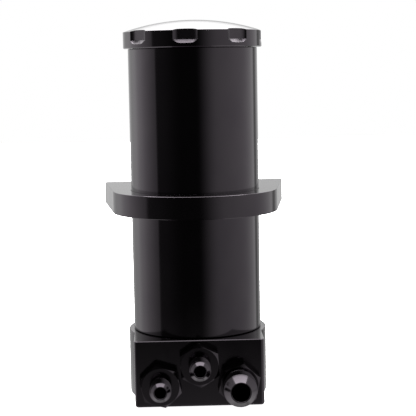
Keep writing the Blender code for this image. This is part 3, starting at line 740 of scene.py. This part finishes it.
gallery_ends = [
    drill(gallery_half_width, gallery_floor, sump_floor + overrun, x, y, flat=True)
    for x, y in ((0.0, 0.0), (-side_port_x, left_riser_y))
]
cut(
    base,
    counterbore,
    hull(gang(*gallery_ends)),
    port_tool(-side_port_x, side_port_height, return_passage, left_riser_y + 0.003),
    port_tool(0.0, middle_port_height, return_passage, 0.003),
    port_tool(side_port_x, side_port_height, feed_passage, feed_riser_y + 0.005),
    drill(return_passage, side_port_height, gallery_floor + overrun, -side_port_x, left_riser_y),
    drill(return_passage, middle_port_height, gallery_floor + overrun),
    drill(feed_riser_radius, side_port_height, sump_floor + overrun, feed_riser_x, feed_riser_y),
    cover_drills(sump_floor - cover_tap_depth, sump_floor + overrun),
)
smooth(base)
black_anodised("black_anodised_block", 500.0, sheen=0.10).coat(base)
place_on(base, "reservoir", "base_manifold")


# ------------------------------------------------------------
# Hose fittings: turned and threaded from hexagon bar and anodised black. Each screws into its port
# on an O-ring, and ends in a straight thread and a 37 degree cone that seals the hose's flared end.

hex_across_flats = 0.0254
hex_length = 0.010
hex_chamfer = math.radians(30.0)
hex_end = touch_gap + hex_length
shank = port_bore - touch_gap
shank_length = 0.0127
shank_neck = 0.0094
shank_thread_top = -0.0034
shank_break = 0.0004
flare = math.radians(37.0)
flare_lip = 0.0009
thread_relief = 0.0011
neck_length = 0.0025
lip_break = 0.0002
port_thread_pitch = 0.0254 / 14
return_end = {"thread_radius": 0.00715, "pitch": 0.0254 / 18, "bore": 0.00375, "length": 0.0155}
feed_end = {"thread_radius": 0.0111, "pitch": 0.0254 / 14, "bore": 0.00615, "length": 0.019}


def hexagon_bar(name, across_flats, low, high):
    """Hexagon bar with a corner towards +Y."""
    start_clear()
    bpy.ops.mesh.primitive_cylinder_add(
        vertices=6,
        radius=across_flats / math.sqrt(3.0),
        depth=high - low,
        location=(0.0, 0.0, (high + low) / 2),
    )
    bar = bpy.context.object
    bar.name = name
    return settle(bar)


def hose_fitting(name, thread_radius, pitch, bore, length):
    """One fitting about Z, with the hexagon's inner face above zero and a corner towards +Y."""
    tip = hex_end + length
    thread_low = hex_end + neck_length - thread_relief
    cone_base = thread_radius - thread_relief
    cone_tip = bore + flare_lip
    cone_start = tip - (cone_base - cone_tip) / math.tan(flare)
    collar = cone_base + 0.0007
    body = lathe(
        "fitting_body",
        [
            (0.0, tip),
            (cone_tip - lip_break, tip),
            (cone_tip, tip - lip_break),
            (cone_base, cone_start),
            (thread_radius, cone_start - thread_relief),
            (thread_radius, hex_end + neck_length),
            (cone_base, thread_low),
            (cone_base, hex_end + 0.0005),
            (collar, hex_end - 0.0002),
            (collar, hex_end - hex_length / 2),
            (shank_neck, hex_end - hex_length / 2),
            (shank_neck, shank_thread_top + shank_break),
            (shank - shank_break, shank_thread_top + shank_break),
            (shank, shank_thread_top),
            (shank, plug_break - shank_length),
            (shank - plug_break, -shank_length),
            (0.0, -shank_length),
        ],
        steps=128,
    )
    hexagon = hexagon_bar(name, hex_across_flats, touch_gap, hex_end)
    face_radius = hex_across_flats / 2 - 0.0002
    rim = hex_across_flats / math.sqrt(3.0) + 0.0004
    fall = (rim - face_radius) * math.tan(hex_chamfer)
    chamfer_ring = lathe(
        "fitting_chamfer",
        [
            (0.0, hex_end),
            (face_radius, hex_end),
            (rim, hex_end - fall),
            (rim, touch_gap + fall),
            (face_radius, touch_gap),
            (0.0, touch_gap),
        ],
        steps=128,
    )
    combine(hexagon, "INTERSECT", chamfer_ring)
    cut_thread(body, thread_radius, 0.55 * pitch, pitch, thread_low + 0.0001, cone_start)
    cut_thread(body, shank, 0.0008, port_thread_pitch, -shank_length, shank_thread_top - 0.0001)
    weld(hexagon, body)
    bore_tool = lathe(
        "fitting_bore",
        [
            (0.0, tip + overrun),
            (bore + lip_break + overrun, tip + overrun),
            (bore, tip - lip_break),
            (bore, 0.0008 - shank_length),
            (bore + 0.0018, -overrun - shank_length),
            (0.0, -overrun - shank_length),
        ],
    )
    cut(hexagon, bore_tool)
    hexagon.data.name = name
    return hexagon


def copy_of(piece, name):
    choose(piece)
    bpy.ops.object.duplicate()
    copy = bpy.context.object
    copy.name = name
    copy.data.name = name
    return copy


fitting_finish = black_anodised("black_anodised_fitting", (600.0, 2400.0, 600.0), sheen=0.12)
left_fitting = hose_fitting("left_hose_end", **return_end)
middle_fitting = copy_of(left_fitting, "middle_hose_end")
feed_hose_end = hose_fitting("feed_hose_end", **feed_end)
for fitting, node, x, height, stopped_at in (
    (left_fitting, "return_fitting_left", -side_port_x, side_port_height, -12.7),
    (middle_fitting, "return_fitting_middle", 0.0, middle_port_height, -3.3),
    (feed_hose_end, "feed_fitting", side_port_x, side_port_height, 12.3),
):
    fitting.rotation_euler.z = -math.radians(stopped_at)
    point_to(settle(fitting), (x, base_front, height), (0.0, -1.0, 0.0))
    smooth(fitting_finish.coat(fitting))
    place_on(fitting, "reservoir", node)


# ------------------------------------------------------------
# Spigot ring: turned aluminium, anodised black and pressed into the base's counterbore. The tube
# slides down over it, and an O-ring in its outer groove seals the two.

spigot_low, spigot_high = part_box("tank_spigot")
sump_radius = 0.0355
spigot = lathe(
    "spigot_ring",
    [(plug_radius, spigot_low.z + touch_gap)]
    + list(reversed(seal_groove(base_ring_height)))
    + [
        (plug_radius, spigot_high.z - plug_break),
        (plug_radius - plug_break, spigot_high.z),
        (sump_radius + recess_break, spigot_high.z),
        (sump_radius, spigot_high.z - recess_break),
        (sump_radius, spigot_low.z),
        (plug_radius - touch_gap, spigot_low.z),
    ],
    steps=192,
)
smooth(spigot)
black_anodised("black_anodised_ring", 900.0).coat(spigot)
place_on(spigot, "reservoir", "tank_spigot")


# ------------------------------------------------------------
# O-rings: moulded nitrile rubber with the fine parting line that the mould leaves. One seals each
# end of the tube, in the groove of the spigot or the cap, and a smaller one seals each fitting.
fitting_ring_section = 0.001
fitting_ring_radius = shank_neck + touch_gap + fitting_ring_section
fitting_ring_y = base_front + fitting_ring_section + touch_gap


def moulded_ring(name, centre_radius, section, steps):
    """A round section with the mould's parting line inside and outside."""
    flash = 0.00004
    outer = curve_points((centre_radius, 0.0), section, 4.0, 176.0, 16)
    inner = curve_points((centre_radius, 0.0), section, 184.0, 356.0, 16)
    parting = (centre_radius + section + flash, 0.0)
    return lathe(name, [parting] + outer + [(centre_radius - section - flash, 0.0)] + inner, steps)


def speckled(name, scale, detail, colours, roughness, relief, metallic):
    """A finish whose one fine grain varies its colour, its roughness and its surface."""
    finish = Finish(name, Metallic=metallic)
    grain = finish.grain(scale, detail)
    finish.vary(
        Base_Color=finish.tint(grain, *colours), Roughness=roughness[0] + roughness[1] * grain
    )
    return finish.relief(grain, *relief)


rubber_colours = ((0.010, 0.010, 0.011), (0.022, 0.022, 0.023))
rubber = speckled(
    "nitrile_rubber", 900.0, 4.0, rubber_colours, (0.48, 0.18), (0.3, 0.00002), metallic=0.0
)

for name, node, body, height in (
    ("tube_base_o_ring", "tube_base_seal", "reservoir", base_ring_height),
    ("cap_o_ring", "cap_seal", "cap_ring", cap_ring_height),
):
    o_ring = moulded_ring(name, ring_radius, ring_section, 192)
    o_ring.location.z = height
    smooth(rubber.coat(settle(o_ring)), 40.0)
    place_on(o_ring, body, node)
for name, node, x, height in (
    ("return_left_o_ring", "return_seal_left", -side_port_x, side_port_height),
    ("return_middle_o_ring", "return_seal_middle", 0.0, middle_port_height),
    ("feed_o_ring", "feed_seal", side_port_x, side_port_height),
):
    o_ring = moulded_ring(name, fitting_ring_radius, fitting_ring_section, 96)
    point_to(o_ring, (x, fitting_ring_y, height), (0.0, -1.0, 0.0))
    smooth(rubber.coat(o_ring), 40.0)
    place_on(o_ring, "reservoir", node)


# ------------------------------------------------------------
# Bracket set screws: cup-point screws of black oxide steel with a hexagon socket. They go in from
# the bracket's back and bite on the tube.

fine_thread = {"depth": 0.0005, "pitch": 0.001, "steps": 40}
set_screw_point = 0.0003
socket_across_flats = 0.004
socket_depth = 0.003


oxide_colours = ((0.022, 0.022, 0.024), (0.050, 0.048, 0.047))
black_steel = speckled(
    "black_oxide_steel", 1500.0, 5.0, oxide_colours, (0.30, 0.22), (0.3, 0.00001), metallic=1.0
)
for side, node in ((-1, "set_screw_left"), (1, "set_screw_right")):
    set_screw = lathe(
        f"{node}_turned",
        [
            (0.0, set_screw_length),
            (set_screw_radius - plug_break, set_screw_length),
            (set_screw_radius, set_screw_length - plug_break),
            (set_screw_radius, set_screw_point + 0.0010),
            (set_screw_radius - 0.0010, set_screw_point),
            (set_screw_radius - 0.0014, set_screw_point),
            (0.0, set_screw_point + 0.0009),
        ],
        steps=64,
    )
    cut_thread(
        set_screw, set_screw_radius, low=-0.0003, high=set_screw_length + 0.0004, **fine_thread
    )
    socket_ends = (set_screw_length - socket_depth, set_screw_length + overrun)
    cut(set_screw, hexagon_bar("socket", socket_across_flats, *socket_ends))
    outwards = (side * math.sin(set_screw_angle), math.cos(set_screw_angle), 0.0)
    foot_reach = tube_radius + touch_gap
    foot = (foot_reach * outwards[0], foot_reach * outwards[1], bracket_middle)
    point_to(set_screw, foot, outwards)
    smooth(black_steel.coat(set_screw))
    place_on(set_screw, "reservoir", node)


# ------------------------------------------------------------
# Gallery cover: a bare aluminium disc on the sump's floor, cut off straight beside the feed riser.
# It closes the milled slot that joins the returns, and three zinc-plated cap screws hold it.

cover_low, cover_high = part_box("gallery_cover")
cover_radius = -cover_low.x
cover_break = 0.0003
pipe_hole = 0.0073


def flat_ring(name, inner, outer, low, high, edge, steps):
    """A flat ring with all four of its edges broken."""
    section = [
        (outer, high - edge),
        (outer, low + edge),
        (outer - edge, low),
        (inner + edge, low),
        (inner, low + edge),
        (inner, high - edge),
        (inner + edge, high),
        (outer - edge, high),
    ]
    return lathe(name, section, steps)


def bare_aluminium(name, marks, sheen=0.26):
    """Machined aluminium: bright, with fine marks of the tool and a thin grey bloom."""
    finish = Finish(name, Metallic=1.0)
    fine = finish.grain(marks, detail=4.0, roughness=0.6)
    bloom = finish.grain(120.0)
    cloud = finish.spread(bloom, 0.35, 0.65, 0.0, 1.0)
    finish.vary(
        Base_Color=finish.tint(cloud, (0.70, 0.71, 0.72), (0.80, 0.81, 0.82)),
        Roughness=sheen + 0.12 * fine + 0.06 * bloom,
    )
    return finish.relief(fine, 0.3, 0.000008)


cover = flat_ring(
    "gallery_cover_plate", pipe_hole, cover_radius, cover_low.z, cover_high.z, cover_break, 160
)
choose(cover)
bpy.ops.object.mode_set(mode="EDIT")
bpy.ops.mesh.select_all(action="SELECT")
bpy.ops.mesh.bisect(
    plane_co=(cover_high.x, 0.0, 0.0), plane_no=(1.0, 0.0, 0.0), use_fill=True, clear_outer=True
)
bpy.ops.object.mode_set(mode="OBJECT")
cut(cover, cover_drills(cover_low.z - overrun, cover_high.z + overrun))
smooth(cover)
bare_aluminium("bare_aluminium_plate", 900.0).coat(cover)
place_on(cover, "reservoir", "gallery_cover")


def zinc_plate(name):
    """Bright zinc plating with its faint warm and grey clouding."""
    finish = Finish(name, Metallic=1.0)
    cloud = finish.grain(350.0, detail=4.0)
    fine = finish.grain(2200.0)
    clouding = finish.spread(cloud, 0.3, 0.7, 0.0, 1.0)
    finish.vary(
        Base_Color=finish.tint(clouding, (0.55, 0.55, 0.54), (0.68, 0.66, 0.61)),
        Roughness=0.26 + 0.16 * cloud + 0.06 * fine,
    )
    return finish.relief(fine, 0.25, 0.000008)


zinc = zinc_plate("zinc_plate")
screw_head_radius = 0.0028
screw_head_height = 0.0022
screw_shank_radius = 0.0015
screw_length = 0.010
cap_screw = lathe(
    "cover_screw_1",
    [
        (0.0, touch_gap + screw_head_height),
        (screw_head_radius - 0.0003, touch_gap + screw_head_height),
        (screw_head_radius, screw_head_height),
        (screw_head_radius, touch_gap),
        (screw_shank_radius, touch_gap),
        (screw_shank_radius, 0.0004 - screw_length),
        (screw_shank_radius - 0.0004, -screw_length),
        (0.0, -screw_length),
    ],
    steps=48,
)
cut_thread(cap_screw, screw_shank_radius, 0.00027, 0.0005, -screw_length - 0.0003, -0.0045, 32)
cut(cap_screw, hexagon_bar("socket", screw_head_radius, 0.0013, 0.004))
cover_screws = [cap_screw]
cover_screws += [copy_of(cap_screw, f"cover_screw_{index}") for index in (2, 3)]
for index, (cover_screw, place) in enumerate(zip(cover_screws, cover_screw_places)):
    cover_screw.location = (*place, cover_high.z)
    smooth(zinc.coat(settle(cover_screw)))
    place_on(cover_screw, "reservoir", f"gallery_cover_screw_{index + 1}")


# ------------------------------------------------------------
# Stand pipe: bare aluminium tube screwed into the gallery cover, closed at the top and cross
# drilled where the filter stands round it. A threaded stud on top holds the filter's spring.

pipe_low, pipe_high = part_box("stand_pipe")
pipe_radius = 0.007
pipe_bore = 0.0048
pipe_top = 0.176
pipe_break = 0.0004
pipe_hole_radius = 0.0025
pipe_hole_rows = [0.082 + 0.032 * row for row in range(3)]
pipe_collar_radius = pipe_high.x
pipe_collar_low = cover_high.z + touch_gap
pipe_collar_high = pipe_collar_low + 0.0055
stud_radius = 0.003
stud_thread = {"low": pipe_top + 0.003, "high": pipe_high.z + 0.0004, **fine_thread}


def cross_drills(radius, outer, inner, heights):
    """Drills that come in through the four sides of a tube at each height, as one tool."""
    drills = []
    for height in heights:
        for turn in range(4):
            section = [(0.0, outer), (radius, outer), (radius, inner), (0.0, inner)]
            heading = (math.cos(turn * math.pi / 2), math.sin(turn * math.pi / 2), 0.0)
            drills.append(point_to(lathe("cross_drill", section, 32), (0.0, 0.0, height), heading))
    return gang(*drills)


pipe = lathe(
    "stand_pipe_turned",
    [
        (0.0, pipe_high.z),
        (stud_radius - 0.0006, pipe_high.z),
        (stud_radius, pipe_high.z - 0.0006),
        (stud_radius, pipe_top),
        (pipe_radius - 0.0006, pipe_top),
        (pipe_radius, pipe_top - 0.0006),
        (pipe_radius, pipe_collar_high),
        (pipe_collar_radius - pipe_break, pipe_collar_high),
        (pipe_collar_radius, pipe_collar_high - pipe_break),
        (pipe_collar_radius, pipe_collar_low + pipe_break),
        (pipe_collar_radius - pipe_break, pipe_collar_low),
        (pipe_radius, pipe_collar_low),
        (pipe_radius, pipe_low.z + pipe_break),
        (pipe_radius - pipe_break, pipe_low.z),
        (pipe_bore, pipe_low.z),
        (pipe_bore, pipe_top - 0.0085),
        (0.0, pipe_top - pipe_radius),
    ],
)
cut(pipe, cross_drills(pipe_hole_radius, 0.009, 0.002, pipe_hole_rows))
cut_thread(pipe, stud_radius, **stud_thread)
smooth(pipe)
bare_aluminium("bare_aluminium_pipe", (1800.0, 1800.0, 500.0), sheen=0.22).coat(pipe)
place_on(pipe, "reservoir", "stand_pipe")


# ------------------------------------------------------------
# Baffle: a bare aluminium plate on the spigot's rim that keeps swirl and froth from the feed, with
# eight drain holes. A zinc-plated nut on the stand pipe clamps it.

baffle_low, baffle_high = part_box("baffle_plate")
drain_ring = 0.029
drain_radius = 0.003
baffle = flat_ring(
    "baffle_disc", pipe_hole, baffle_high.x, baffle_low.z, baffle_high.z, cover_break, 192
)
drain_drills = []
for index in range(8):
    drain_drill = lathe(
        "drain_drill",
        [
            (0.0, baffle_high.z + overrun),
            (drain_radius + cover_break + overrun, baffle_high.z + overrun),
            (drain_radius, baffle_high.z - cover_break),
            (drain_radius, baffle_low.z - overrun),
            (0.0, baffle_low.z - overrun),
        ],
        48,
    )
    heading = index * math.pi / 4
    drain_drill.location = (drain_ring * math.cos(heading), drain_ring * math.sin(heading), 0.0)
    drain_drills.append(settle(drain_drill))
cut(baffle, gang(*drain_drills))
smooth(baffle)
bare_aluminium("bare_aluminium_disc", 700.0).coat(baffle)
place_on(baffle, "reservoir", "baffle_plate")


def plated_nut(name, node, across_flats, hole):
    """A hexagon nut chamfered on both faces, bored and countersunk."""
    low, high = (corner.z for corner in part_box(node))
    reach = across_flats / math.sqrt(3.0) + 0.0003
    face = 0.96 * across_flats / 2
    fall = (reach - face) * math.tan(hex_chamfer)
    blank = lathe(
        "nut_chamfers",
        [
            (face, high),
            (reach, high - fall),
            (reach, low + fall),
            (face, low),
            (hole + 0.0004, low),
            (hole, low + 0.0004),
            (hole, high - 0.0004),
            (hole + 0.0004, high),
        ],
    )
    nut = hexagon_bar(name, across_flats, low - overrun, high + overrun)
    combine(nut, "INTERSECT", blank)
    smooth(zinc.coat(nut), 24.0)
    place_on(nut, "reservoir", node)


plated_nut("baffle_clamp_nut", "baffle_nut", 0.022, pipe_hole)
plated_nut("spring_stud_nut", "stud_nut", 0.010, stud_radius + touch_gap)


# ------------------------------------------------------------
# Filter element: pleated resin-treated paper round a drilled steel core, held between two pressed
# and zinc-plated trays. A rubber grommet in each tray slides on the stand pipe, so the element can
# lift against its spring when the paper is blocked.

tray_hole = 0.0098
tray_thickness = 0.003
tray_wall = 0.001
tray_edge = 0.0002
tray_break = 0.0003
tray_round = 0.0008


def filter_tray(name, node, facing):
    """A pressed tray whose rim turns up (facing 1) or down (facing -1) round the pleats."""
    low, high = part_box(node)
    radius = high.x
    back, rim = (low.z, high.z) if facing > 0 else (high.z, low.z)
    floor = back + facing * tray_thickness
    centre = (radius - tray_round, back + facing * tray_round)
    section = [
        (radius, rim - facing * tray_edge),
        *curve_points(centre, tray_round, 0.0, -90.0 * facing, 5),
        (tray_hole + tray_break, back),
        (tray_hole, back + facing * tray_break),
        (tray_hole, floor - facing * tray_break),
        (tray_hole + tray_break, floor),
        (radius - tray_wall - 0.0004, floor),
        (radius - tray_wall, floor + facing * 0.0004),
        (radius - tray_wall, rim - facing * tray_edge),
        (radius - tray_wall / 2, rim),
    ]
    tray = smooth(zinc.coat(lathe(name, section, 128)))
    place_on(tray, "filter_element", node)


filter_tray("lower_tray", "filter_lower_cap", 1)
filter_tray("upper_tray", "filter_upper_cap", -1)

paper = Finish("filter_paper", Roughness=0.9)
fibres = paper.grain((2400.0, 2400.0, 700.0), detail=5.0, roughness=0.7)
patches = paper.grain((160.0, 160.0, 90.0), detail=2.0)
mottle = 0.5 * fibres + 0.5 * patches
paper.vary(
    Base_Color=paper.tint(mottle, (0.62, 0.50, 0.27), (0.84, 0.74, 0.50)),
    Roughness=0.80 + 0.15 * fibres,
)
paper.relief(fibres, 0.6, 0.00006)


media_low, media_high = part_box("filter_media")
pleat_count = 30
pleat_outer = media_high.x
pleat_inner = pleat_outer - 0.0085
pleat_fold = 0.0010
pleat_rows = 8
paper_thickness = 0.0009
start_clear()
bpy.ops.mesh.primitive_circle_add(
    vertices=2 * pleat_count, radius=pleat_outer, location=(0.0, 0.0, media_low.z)
)
pleats = settle(bpy.context.object)
pleats.name = "pleated_paper"
bpy.context.tool_settings.mesh_select_mode = (True, False, False)
for point in pleats.data.vertices:
    point.select = round(math.atan2(point.co.y, point.co.x) / (math.pi / pleat_count)) % 2 == 1
bpy.ops.object.mode_set(mode="EDIT")
inwards = (pleat_inner / pleat_outer, pleat_inner / pleat_outer, 1.0)
bpy.ops.transform.resize(value=inwards, center_override=(0.0, 0.0, media_low.z))
bpy.ops.mesh.select_all(action="SELECT")
bpy.ops.mesh.bevel(offset=pleat_fold, segments=4, affect="VERTICES")
rise = (0.0, 0.0, (media_high.z - media_low.z) / pleat_rows)
for row in range(pleat_rows):
    bpy.ops.mesh.extrude_region_move(TRANSFORM_OT_translate={"value": rise})
turn_out()
finish_with(pleats, "SOLIDIFY", thickness=paper_thickness, offset=-1.0, use_even_offset=True)
smooth(paper.coat(pleats), 50.0)
place_on(pleats, "filter_element", "filter_media")

core_low, core_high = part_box("filter_core")
core_radius = core_high.x
core_bore = core_radius - 0.001
core_break = 0.0002
core_pitch = (core_high.z - core_low.z) / 5
core = lathe(
    "drilled_core",
    [
        (core_radius, core_high.z - core_break),
        (core_radius, core_low.z + core_break),
        (core_radius - core_break, core_low.z),
        (core_bore, core_low.z),
        (core_bore, core_high.z),
        (core_radius - core_break, core_high.z),
    ],
)
core_hole_radius = 0.002
core_rows = [core_low.z + core_pitch * row for row in range(1, 5)]
cut(core, cross_drills(core_hole_radius, 0.019, 0.013, core_rows))
smooth(zinc.coat(core))
place_on(core, "filter_element", "filter_core")

lip_round = 0.0004
grommet_lip = 0.001
grommet_break = 0.0003
for name, node in (
    ("lower_grommet", "filter_lower_grommet"),
    ("upper_grommet", "filter_upper_grommet"),
):
    low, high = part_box(node)
    groove_top = high.z - grommet_lip
    waist = high.x - grommet_lip
    grommet = lathe(
        name,
        [
            *curve_points((high.x - lip_round, high.z - lip_round), lip_round, 90.0, 0.0, 4),
            (high.x, groove_top + 0.0001),
            (high.x - 0.0001, groove_top),
            (waist, groove_top),
            (waist, low.z + grommet_break),
            (waist - grommet_break, low.z),
            (pipe_hole + grommet_break, low.z),
            (pipe_hole, low.z + grommet_break),
            (pipe_hole, high.z - grommet_break),
            (pipe_hole + grommet_break, high.z),
        ],
        64,
    )
    smooth(rubber.coat(grommet), 40.0)
    place_on(grommet, "filter_element", node)


# ------------------------------------------------------------
# Bypass spring and seat: a coil of spring steel wire that holds the element down on the pipe,
# under a plated washer and the stud's nut. It is built at one fixed length and does not shorten
# when the element lifts.

spring_low, spring_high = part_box("filter_spring")
spring_length = spring_high.z - spring_low.z
spring_wire = 0.0007
spring_radius = 0.0085
spring_turns = 4
start_clear()
bpy.ops.mesh.primitive_circle_add(
    vertices=16,
    radius=spring_wire,
    location=(spring_radius, 0.0, spring_low.z + spring_wire),
    rotation=(math.pi / 2, 0.0, 0.0),
)
spring = settle(bpy.context.object)
spring.name = "bypass_spring"
coil(spring, spring_turns, (spring_length - 2 * spring_wire) / spring_turns, 56)
wire_colours = ((0.36, 0.36, 0.37), (0.50, 0.50, 0.51))
spring_steel = speckled(
    "spring_steel", 1600.0, 4.0, wire_colours, (0.22, 0.16), (0.25, 0.000008), metallic=1.0
)
smooth(spring_steel.coat(spring), 50.0)
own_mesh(spring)
place_on(spring, "reservoir", "filter_spring")

seat_low, seat_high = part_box("spring_seat")
seat = flat_ring(
    "spring_washer_plate",
    stud_radius + touch_gap,
    seat_high.x,
    seat_low.z,
    seat_high.z,
    0.0002,
    96,
)
smooth(zinc.coat(seat))
place_on(seat, "reservoir", "spring_seat")


# ------------------------------------------------------------
# Studio: a camera a little above the middle of the tank, a pale floor, and a white room with a
# long soft box each side, a dark front, a pale backdrop and a large box overhead.

camera_pitch = math.radians(6.451)
camera_yaw = math.radians(1.453)
camera_roll = math.radians(-1.031)
camera_place = (-0.013287, -0.872036, 0.227161)
camera_turn = (
    Matrix.Rotation(-camera_yaw, 4, "Z")
    @ Matrix.Rotation(math.pi / 2 - camera_pitch, 4, "X")
    @ Matrix.Rotation(camera_roll, 4, "Z")
)
bpy.ops.object.camera_add(location=camera_place, rotation=camera_turn.to_euler())
camera = bpy.context.object
camera.name = "studio_camera"
camera.data.lens = 108.68
camera.data.clip_start = 0.01
bpy.context.scene.camera = camera

start_clear()
bpy.ops.mesh.primitive_plane_add(size=6.0, location=(0.0, 0.0, -touch_gap))
floor = bpy.context.object
floor.name = "studio_floor"
pale_paper = Finish(
    "pale_paper", Roughness=0.9, Emission_Color=(1.0, 1.0, 1.0, 1.0), Emission_Strength=1.0
)
pale_paper.vary(
    Base_Color=pale_paper.tint(pale_paper.grain(4.0), (0.86, 0.86, 0.86), (0.90, 0.90, 0.90))
)
pale_paper.coat(floor)
floor.visible_glossy = False

world = bpy.data.worlds.new("studio")
bpy.context.scene.world = world
world.use_nodes = True
room = NodeSet(world.node_tree)


def room_maths(operation, *values):
    return room.add("ShaderNodeMath", {"operation": operation}, dict(enumerate(values)))


# A direction's azimuth in degrees, 0 behind the camera and rising to its right, and its height.
direction = room.add("ShaderNodeTexCoord", output="Generated")
split = room.add("ShaderNodeSeparateXYZ", None, {0: direction}).socket.node
east, north, up = (Value(room, socket) for socket in split.outputs)
azimuth = room_maths("ARCTAN2", east, 0.0 - north) * (180.0 / math.pi)
height = room_maths("ARCSINE", up) * (180.0 / math.pi)

# The soft boxes on the left and the right, the backdrop between them, and the haze in front.
left_box = room.spread(azimuth, -72.2, -69.4, 1.0, 0.0)
left_box = left_box * room.spread(azimuth, -107.0, -75.0, 1.58, 0.54, "LINEAR")
left_box = left_box * room.spread(azimuth, -150.0, -126.0, 0.28, 1.0, "LINEAR")
right_box = room.spread(azimuth, 4.0, 46.0, 0.0, 0.84)
right_box = right_box + room.spread(azimuth, 44.0, 112.0, 0.0, 0.57, "LINEAR")
right_box = right_box * room.spread(azimuth, 130.0, 138.0, 1.0, 0.21)
backdrop = room.spread(azimuth, 142.0, 150.0, 0.0, 0.36)
backdrop = backdrop + room.spread(azimuth, -150.0, -142.0, 0.2, 0.0)
haze = room.spread(azimuth, -66.0, -20.0, 0.075, 0.0) + 0.03
walls = (left_box + right_box + backdrop + haze) * room.spread(height, -12.0, -1.0, 0.80, 1.0)
low_front = room.spread(height, -17.0, -12.0, 0.40, 0.0)

# The white sweep behind, and the box overhead, which is placed by where a line of sight meets it.
sweep = room.spread(height, 7.0, 36.0, 0.0, 5.0, "LINEAR") * room.spread(north, 0.0, 0.5, 0.0, 1.0)
overhead_strength = 15.0
across = room_maths("ABSOLUTE", east / (up + 0.0001))
along = north / (up + 0.0001)
overhead = room.spread(across, 0.62, 0.80, 1.0, 0.0) * room.spread(along, -0.5, 0.4, 0.0, 1.0)
overhead = overhead * room.spread(height, 30.0, 46.0, 0.0, 1.0)
brightness = room_maths("MAXIMUM", walls + low_front, sweep)
brightness = room_maths("MAXIMUM", brightness, overhead * overhead_strength)
glow = room.add("ShaderNodeCombineColor", None, {0: brightness, 1: brightness, 2: brightness})
seen = room.add("ShaderNodeLightPath", output="Is Camera Ray")
white_sheet = room.add("ShaderNodeBackground", None, {"Color": (1.0, 1.0, 1.0, 1.0)})
lit_room = room.add("ShaderNodeBackground", None, {"Color": glow})
background = room.add("ShaderNodeMixShader", None, {0: seen, 1: lit_room, 2: white_sheet})
room.feed(world.node_tree.nodes["World Output"].inputs["Surface"], background)
bpy.context.scene.view_settings.view_transform = "Standard"
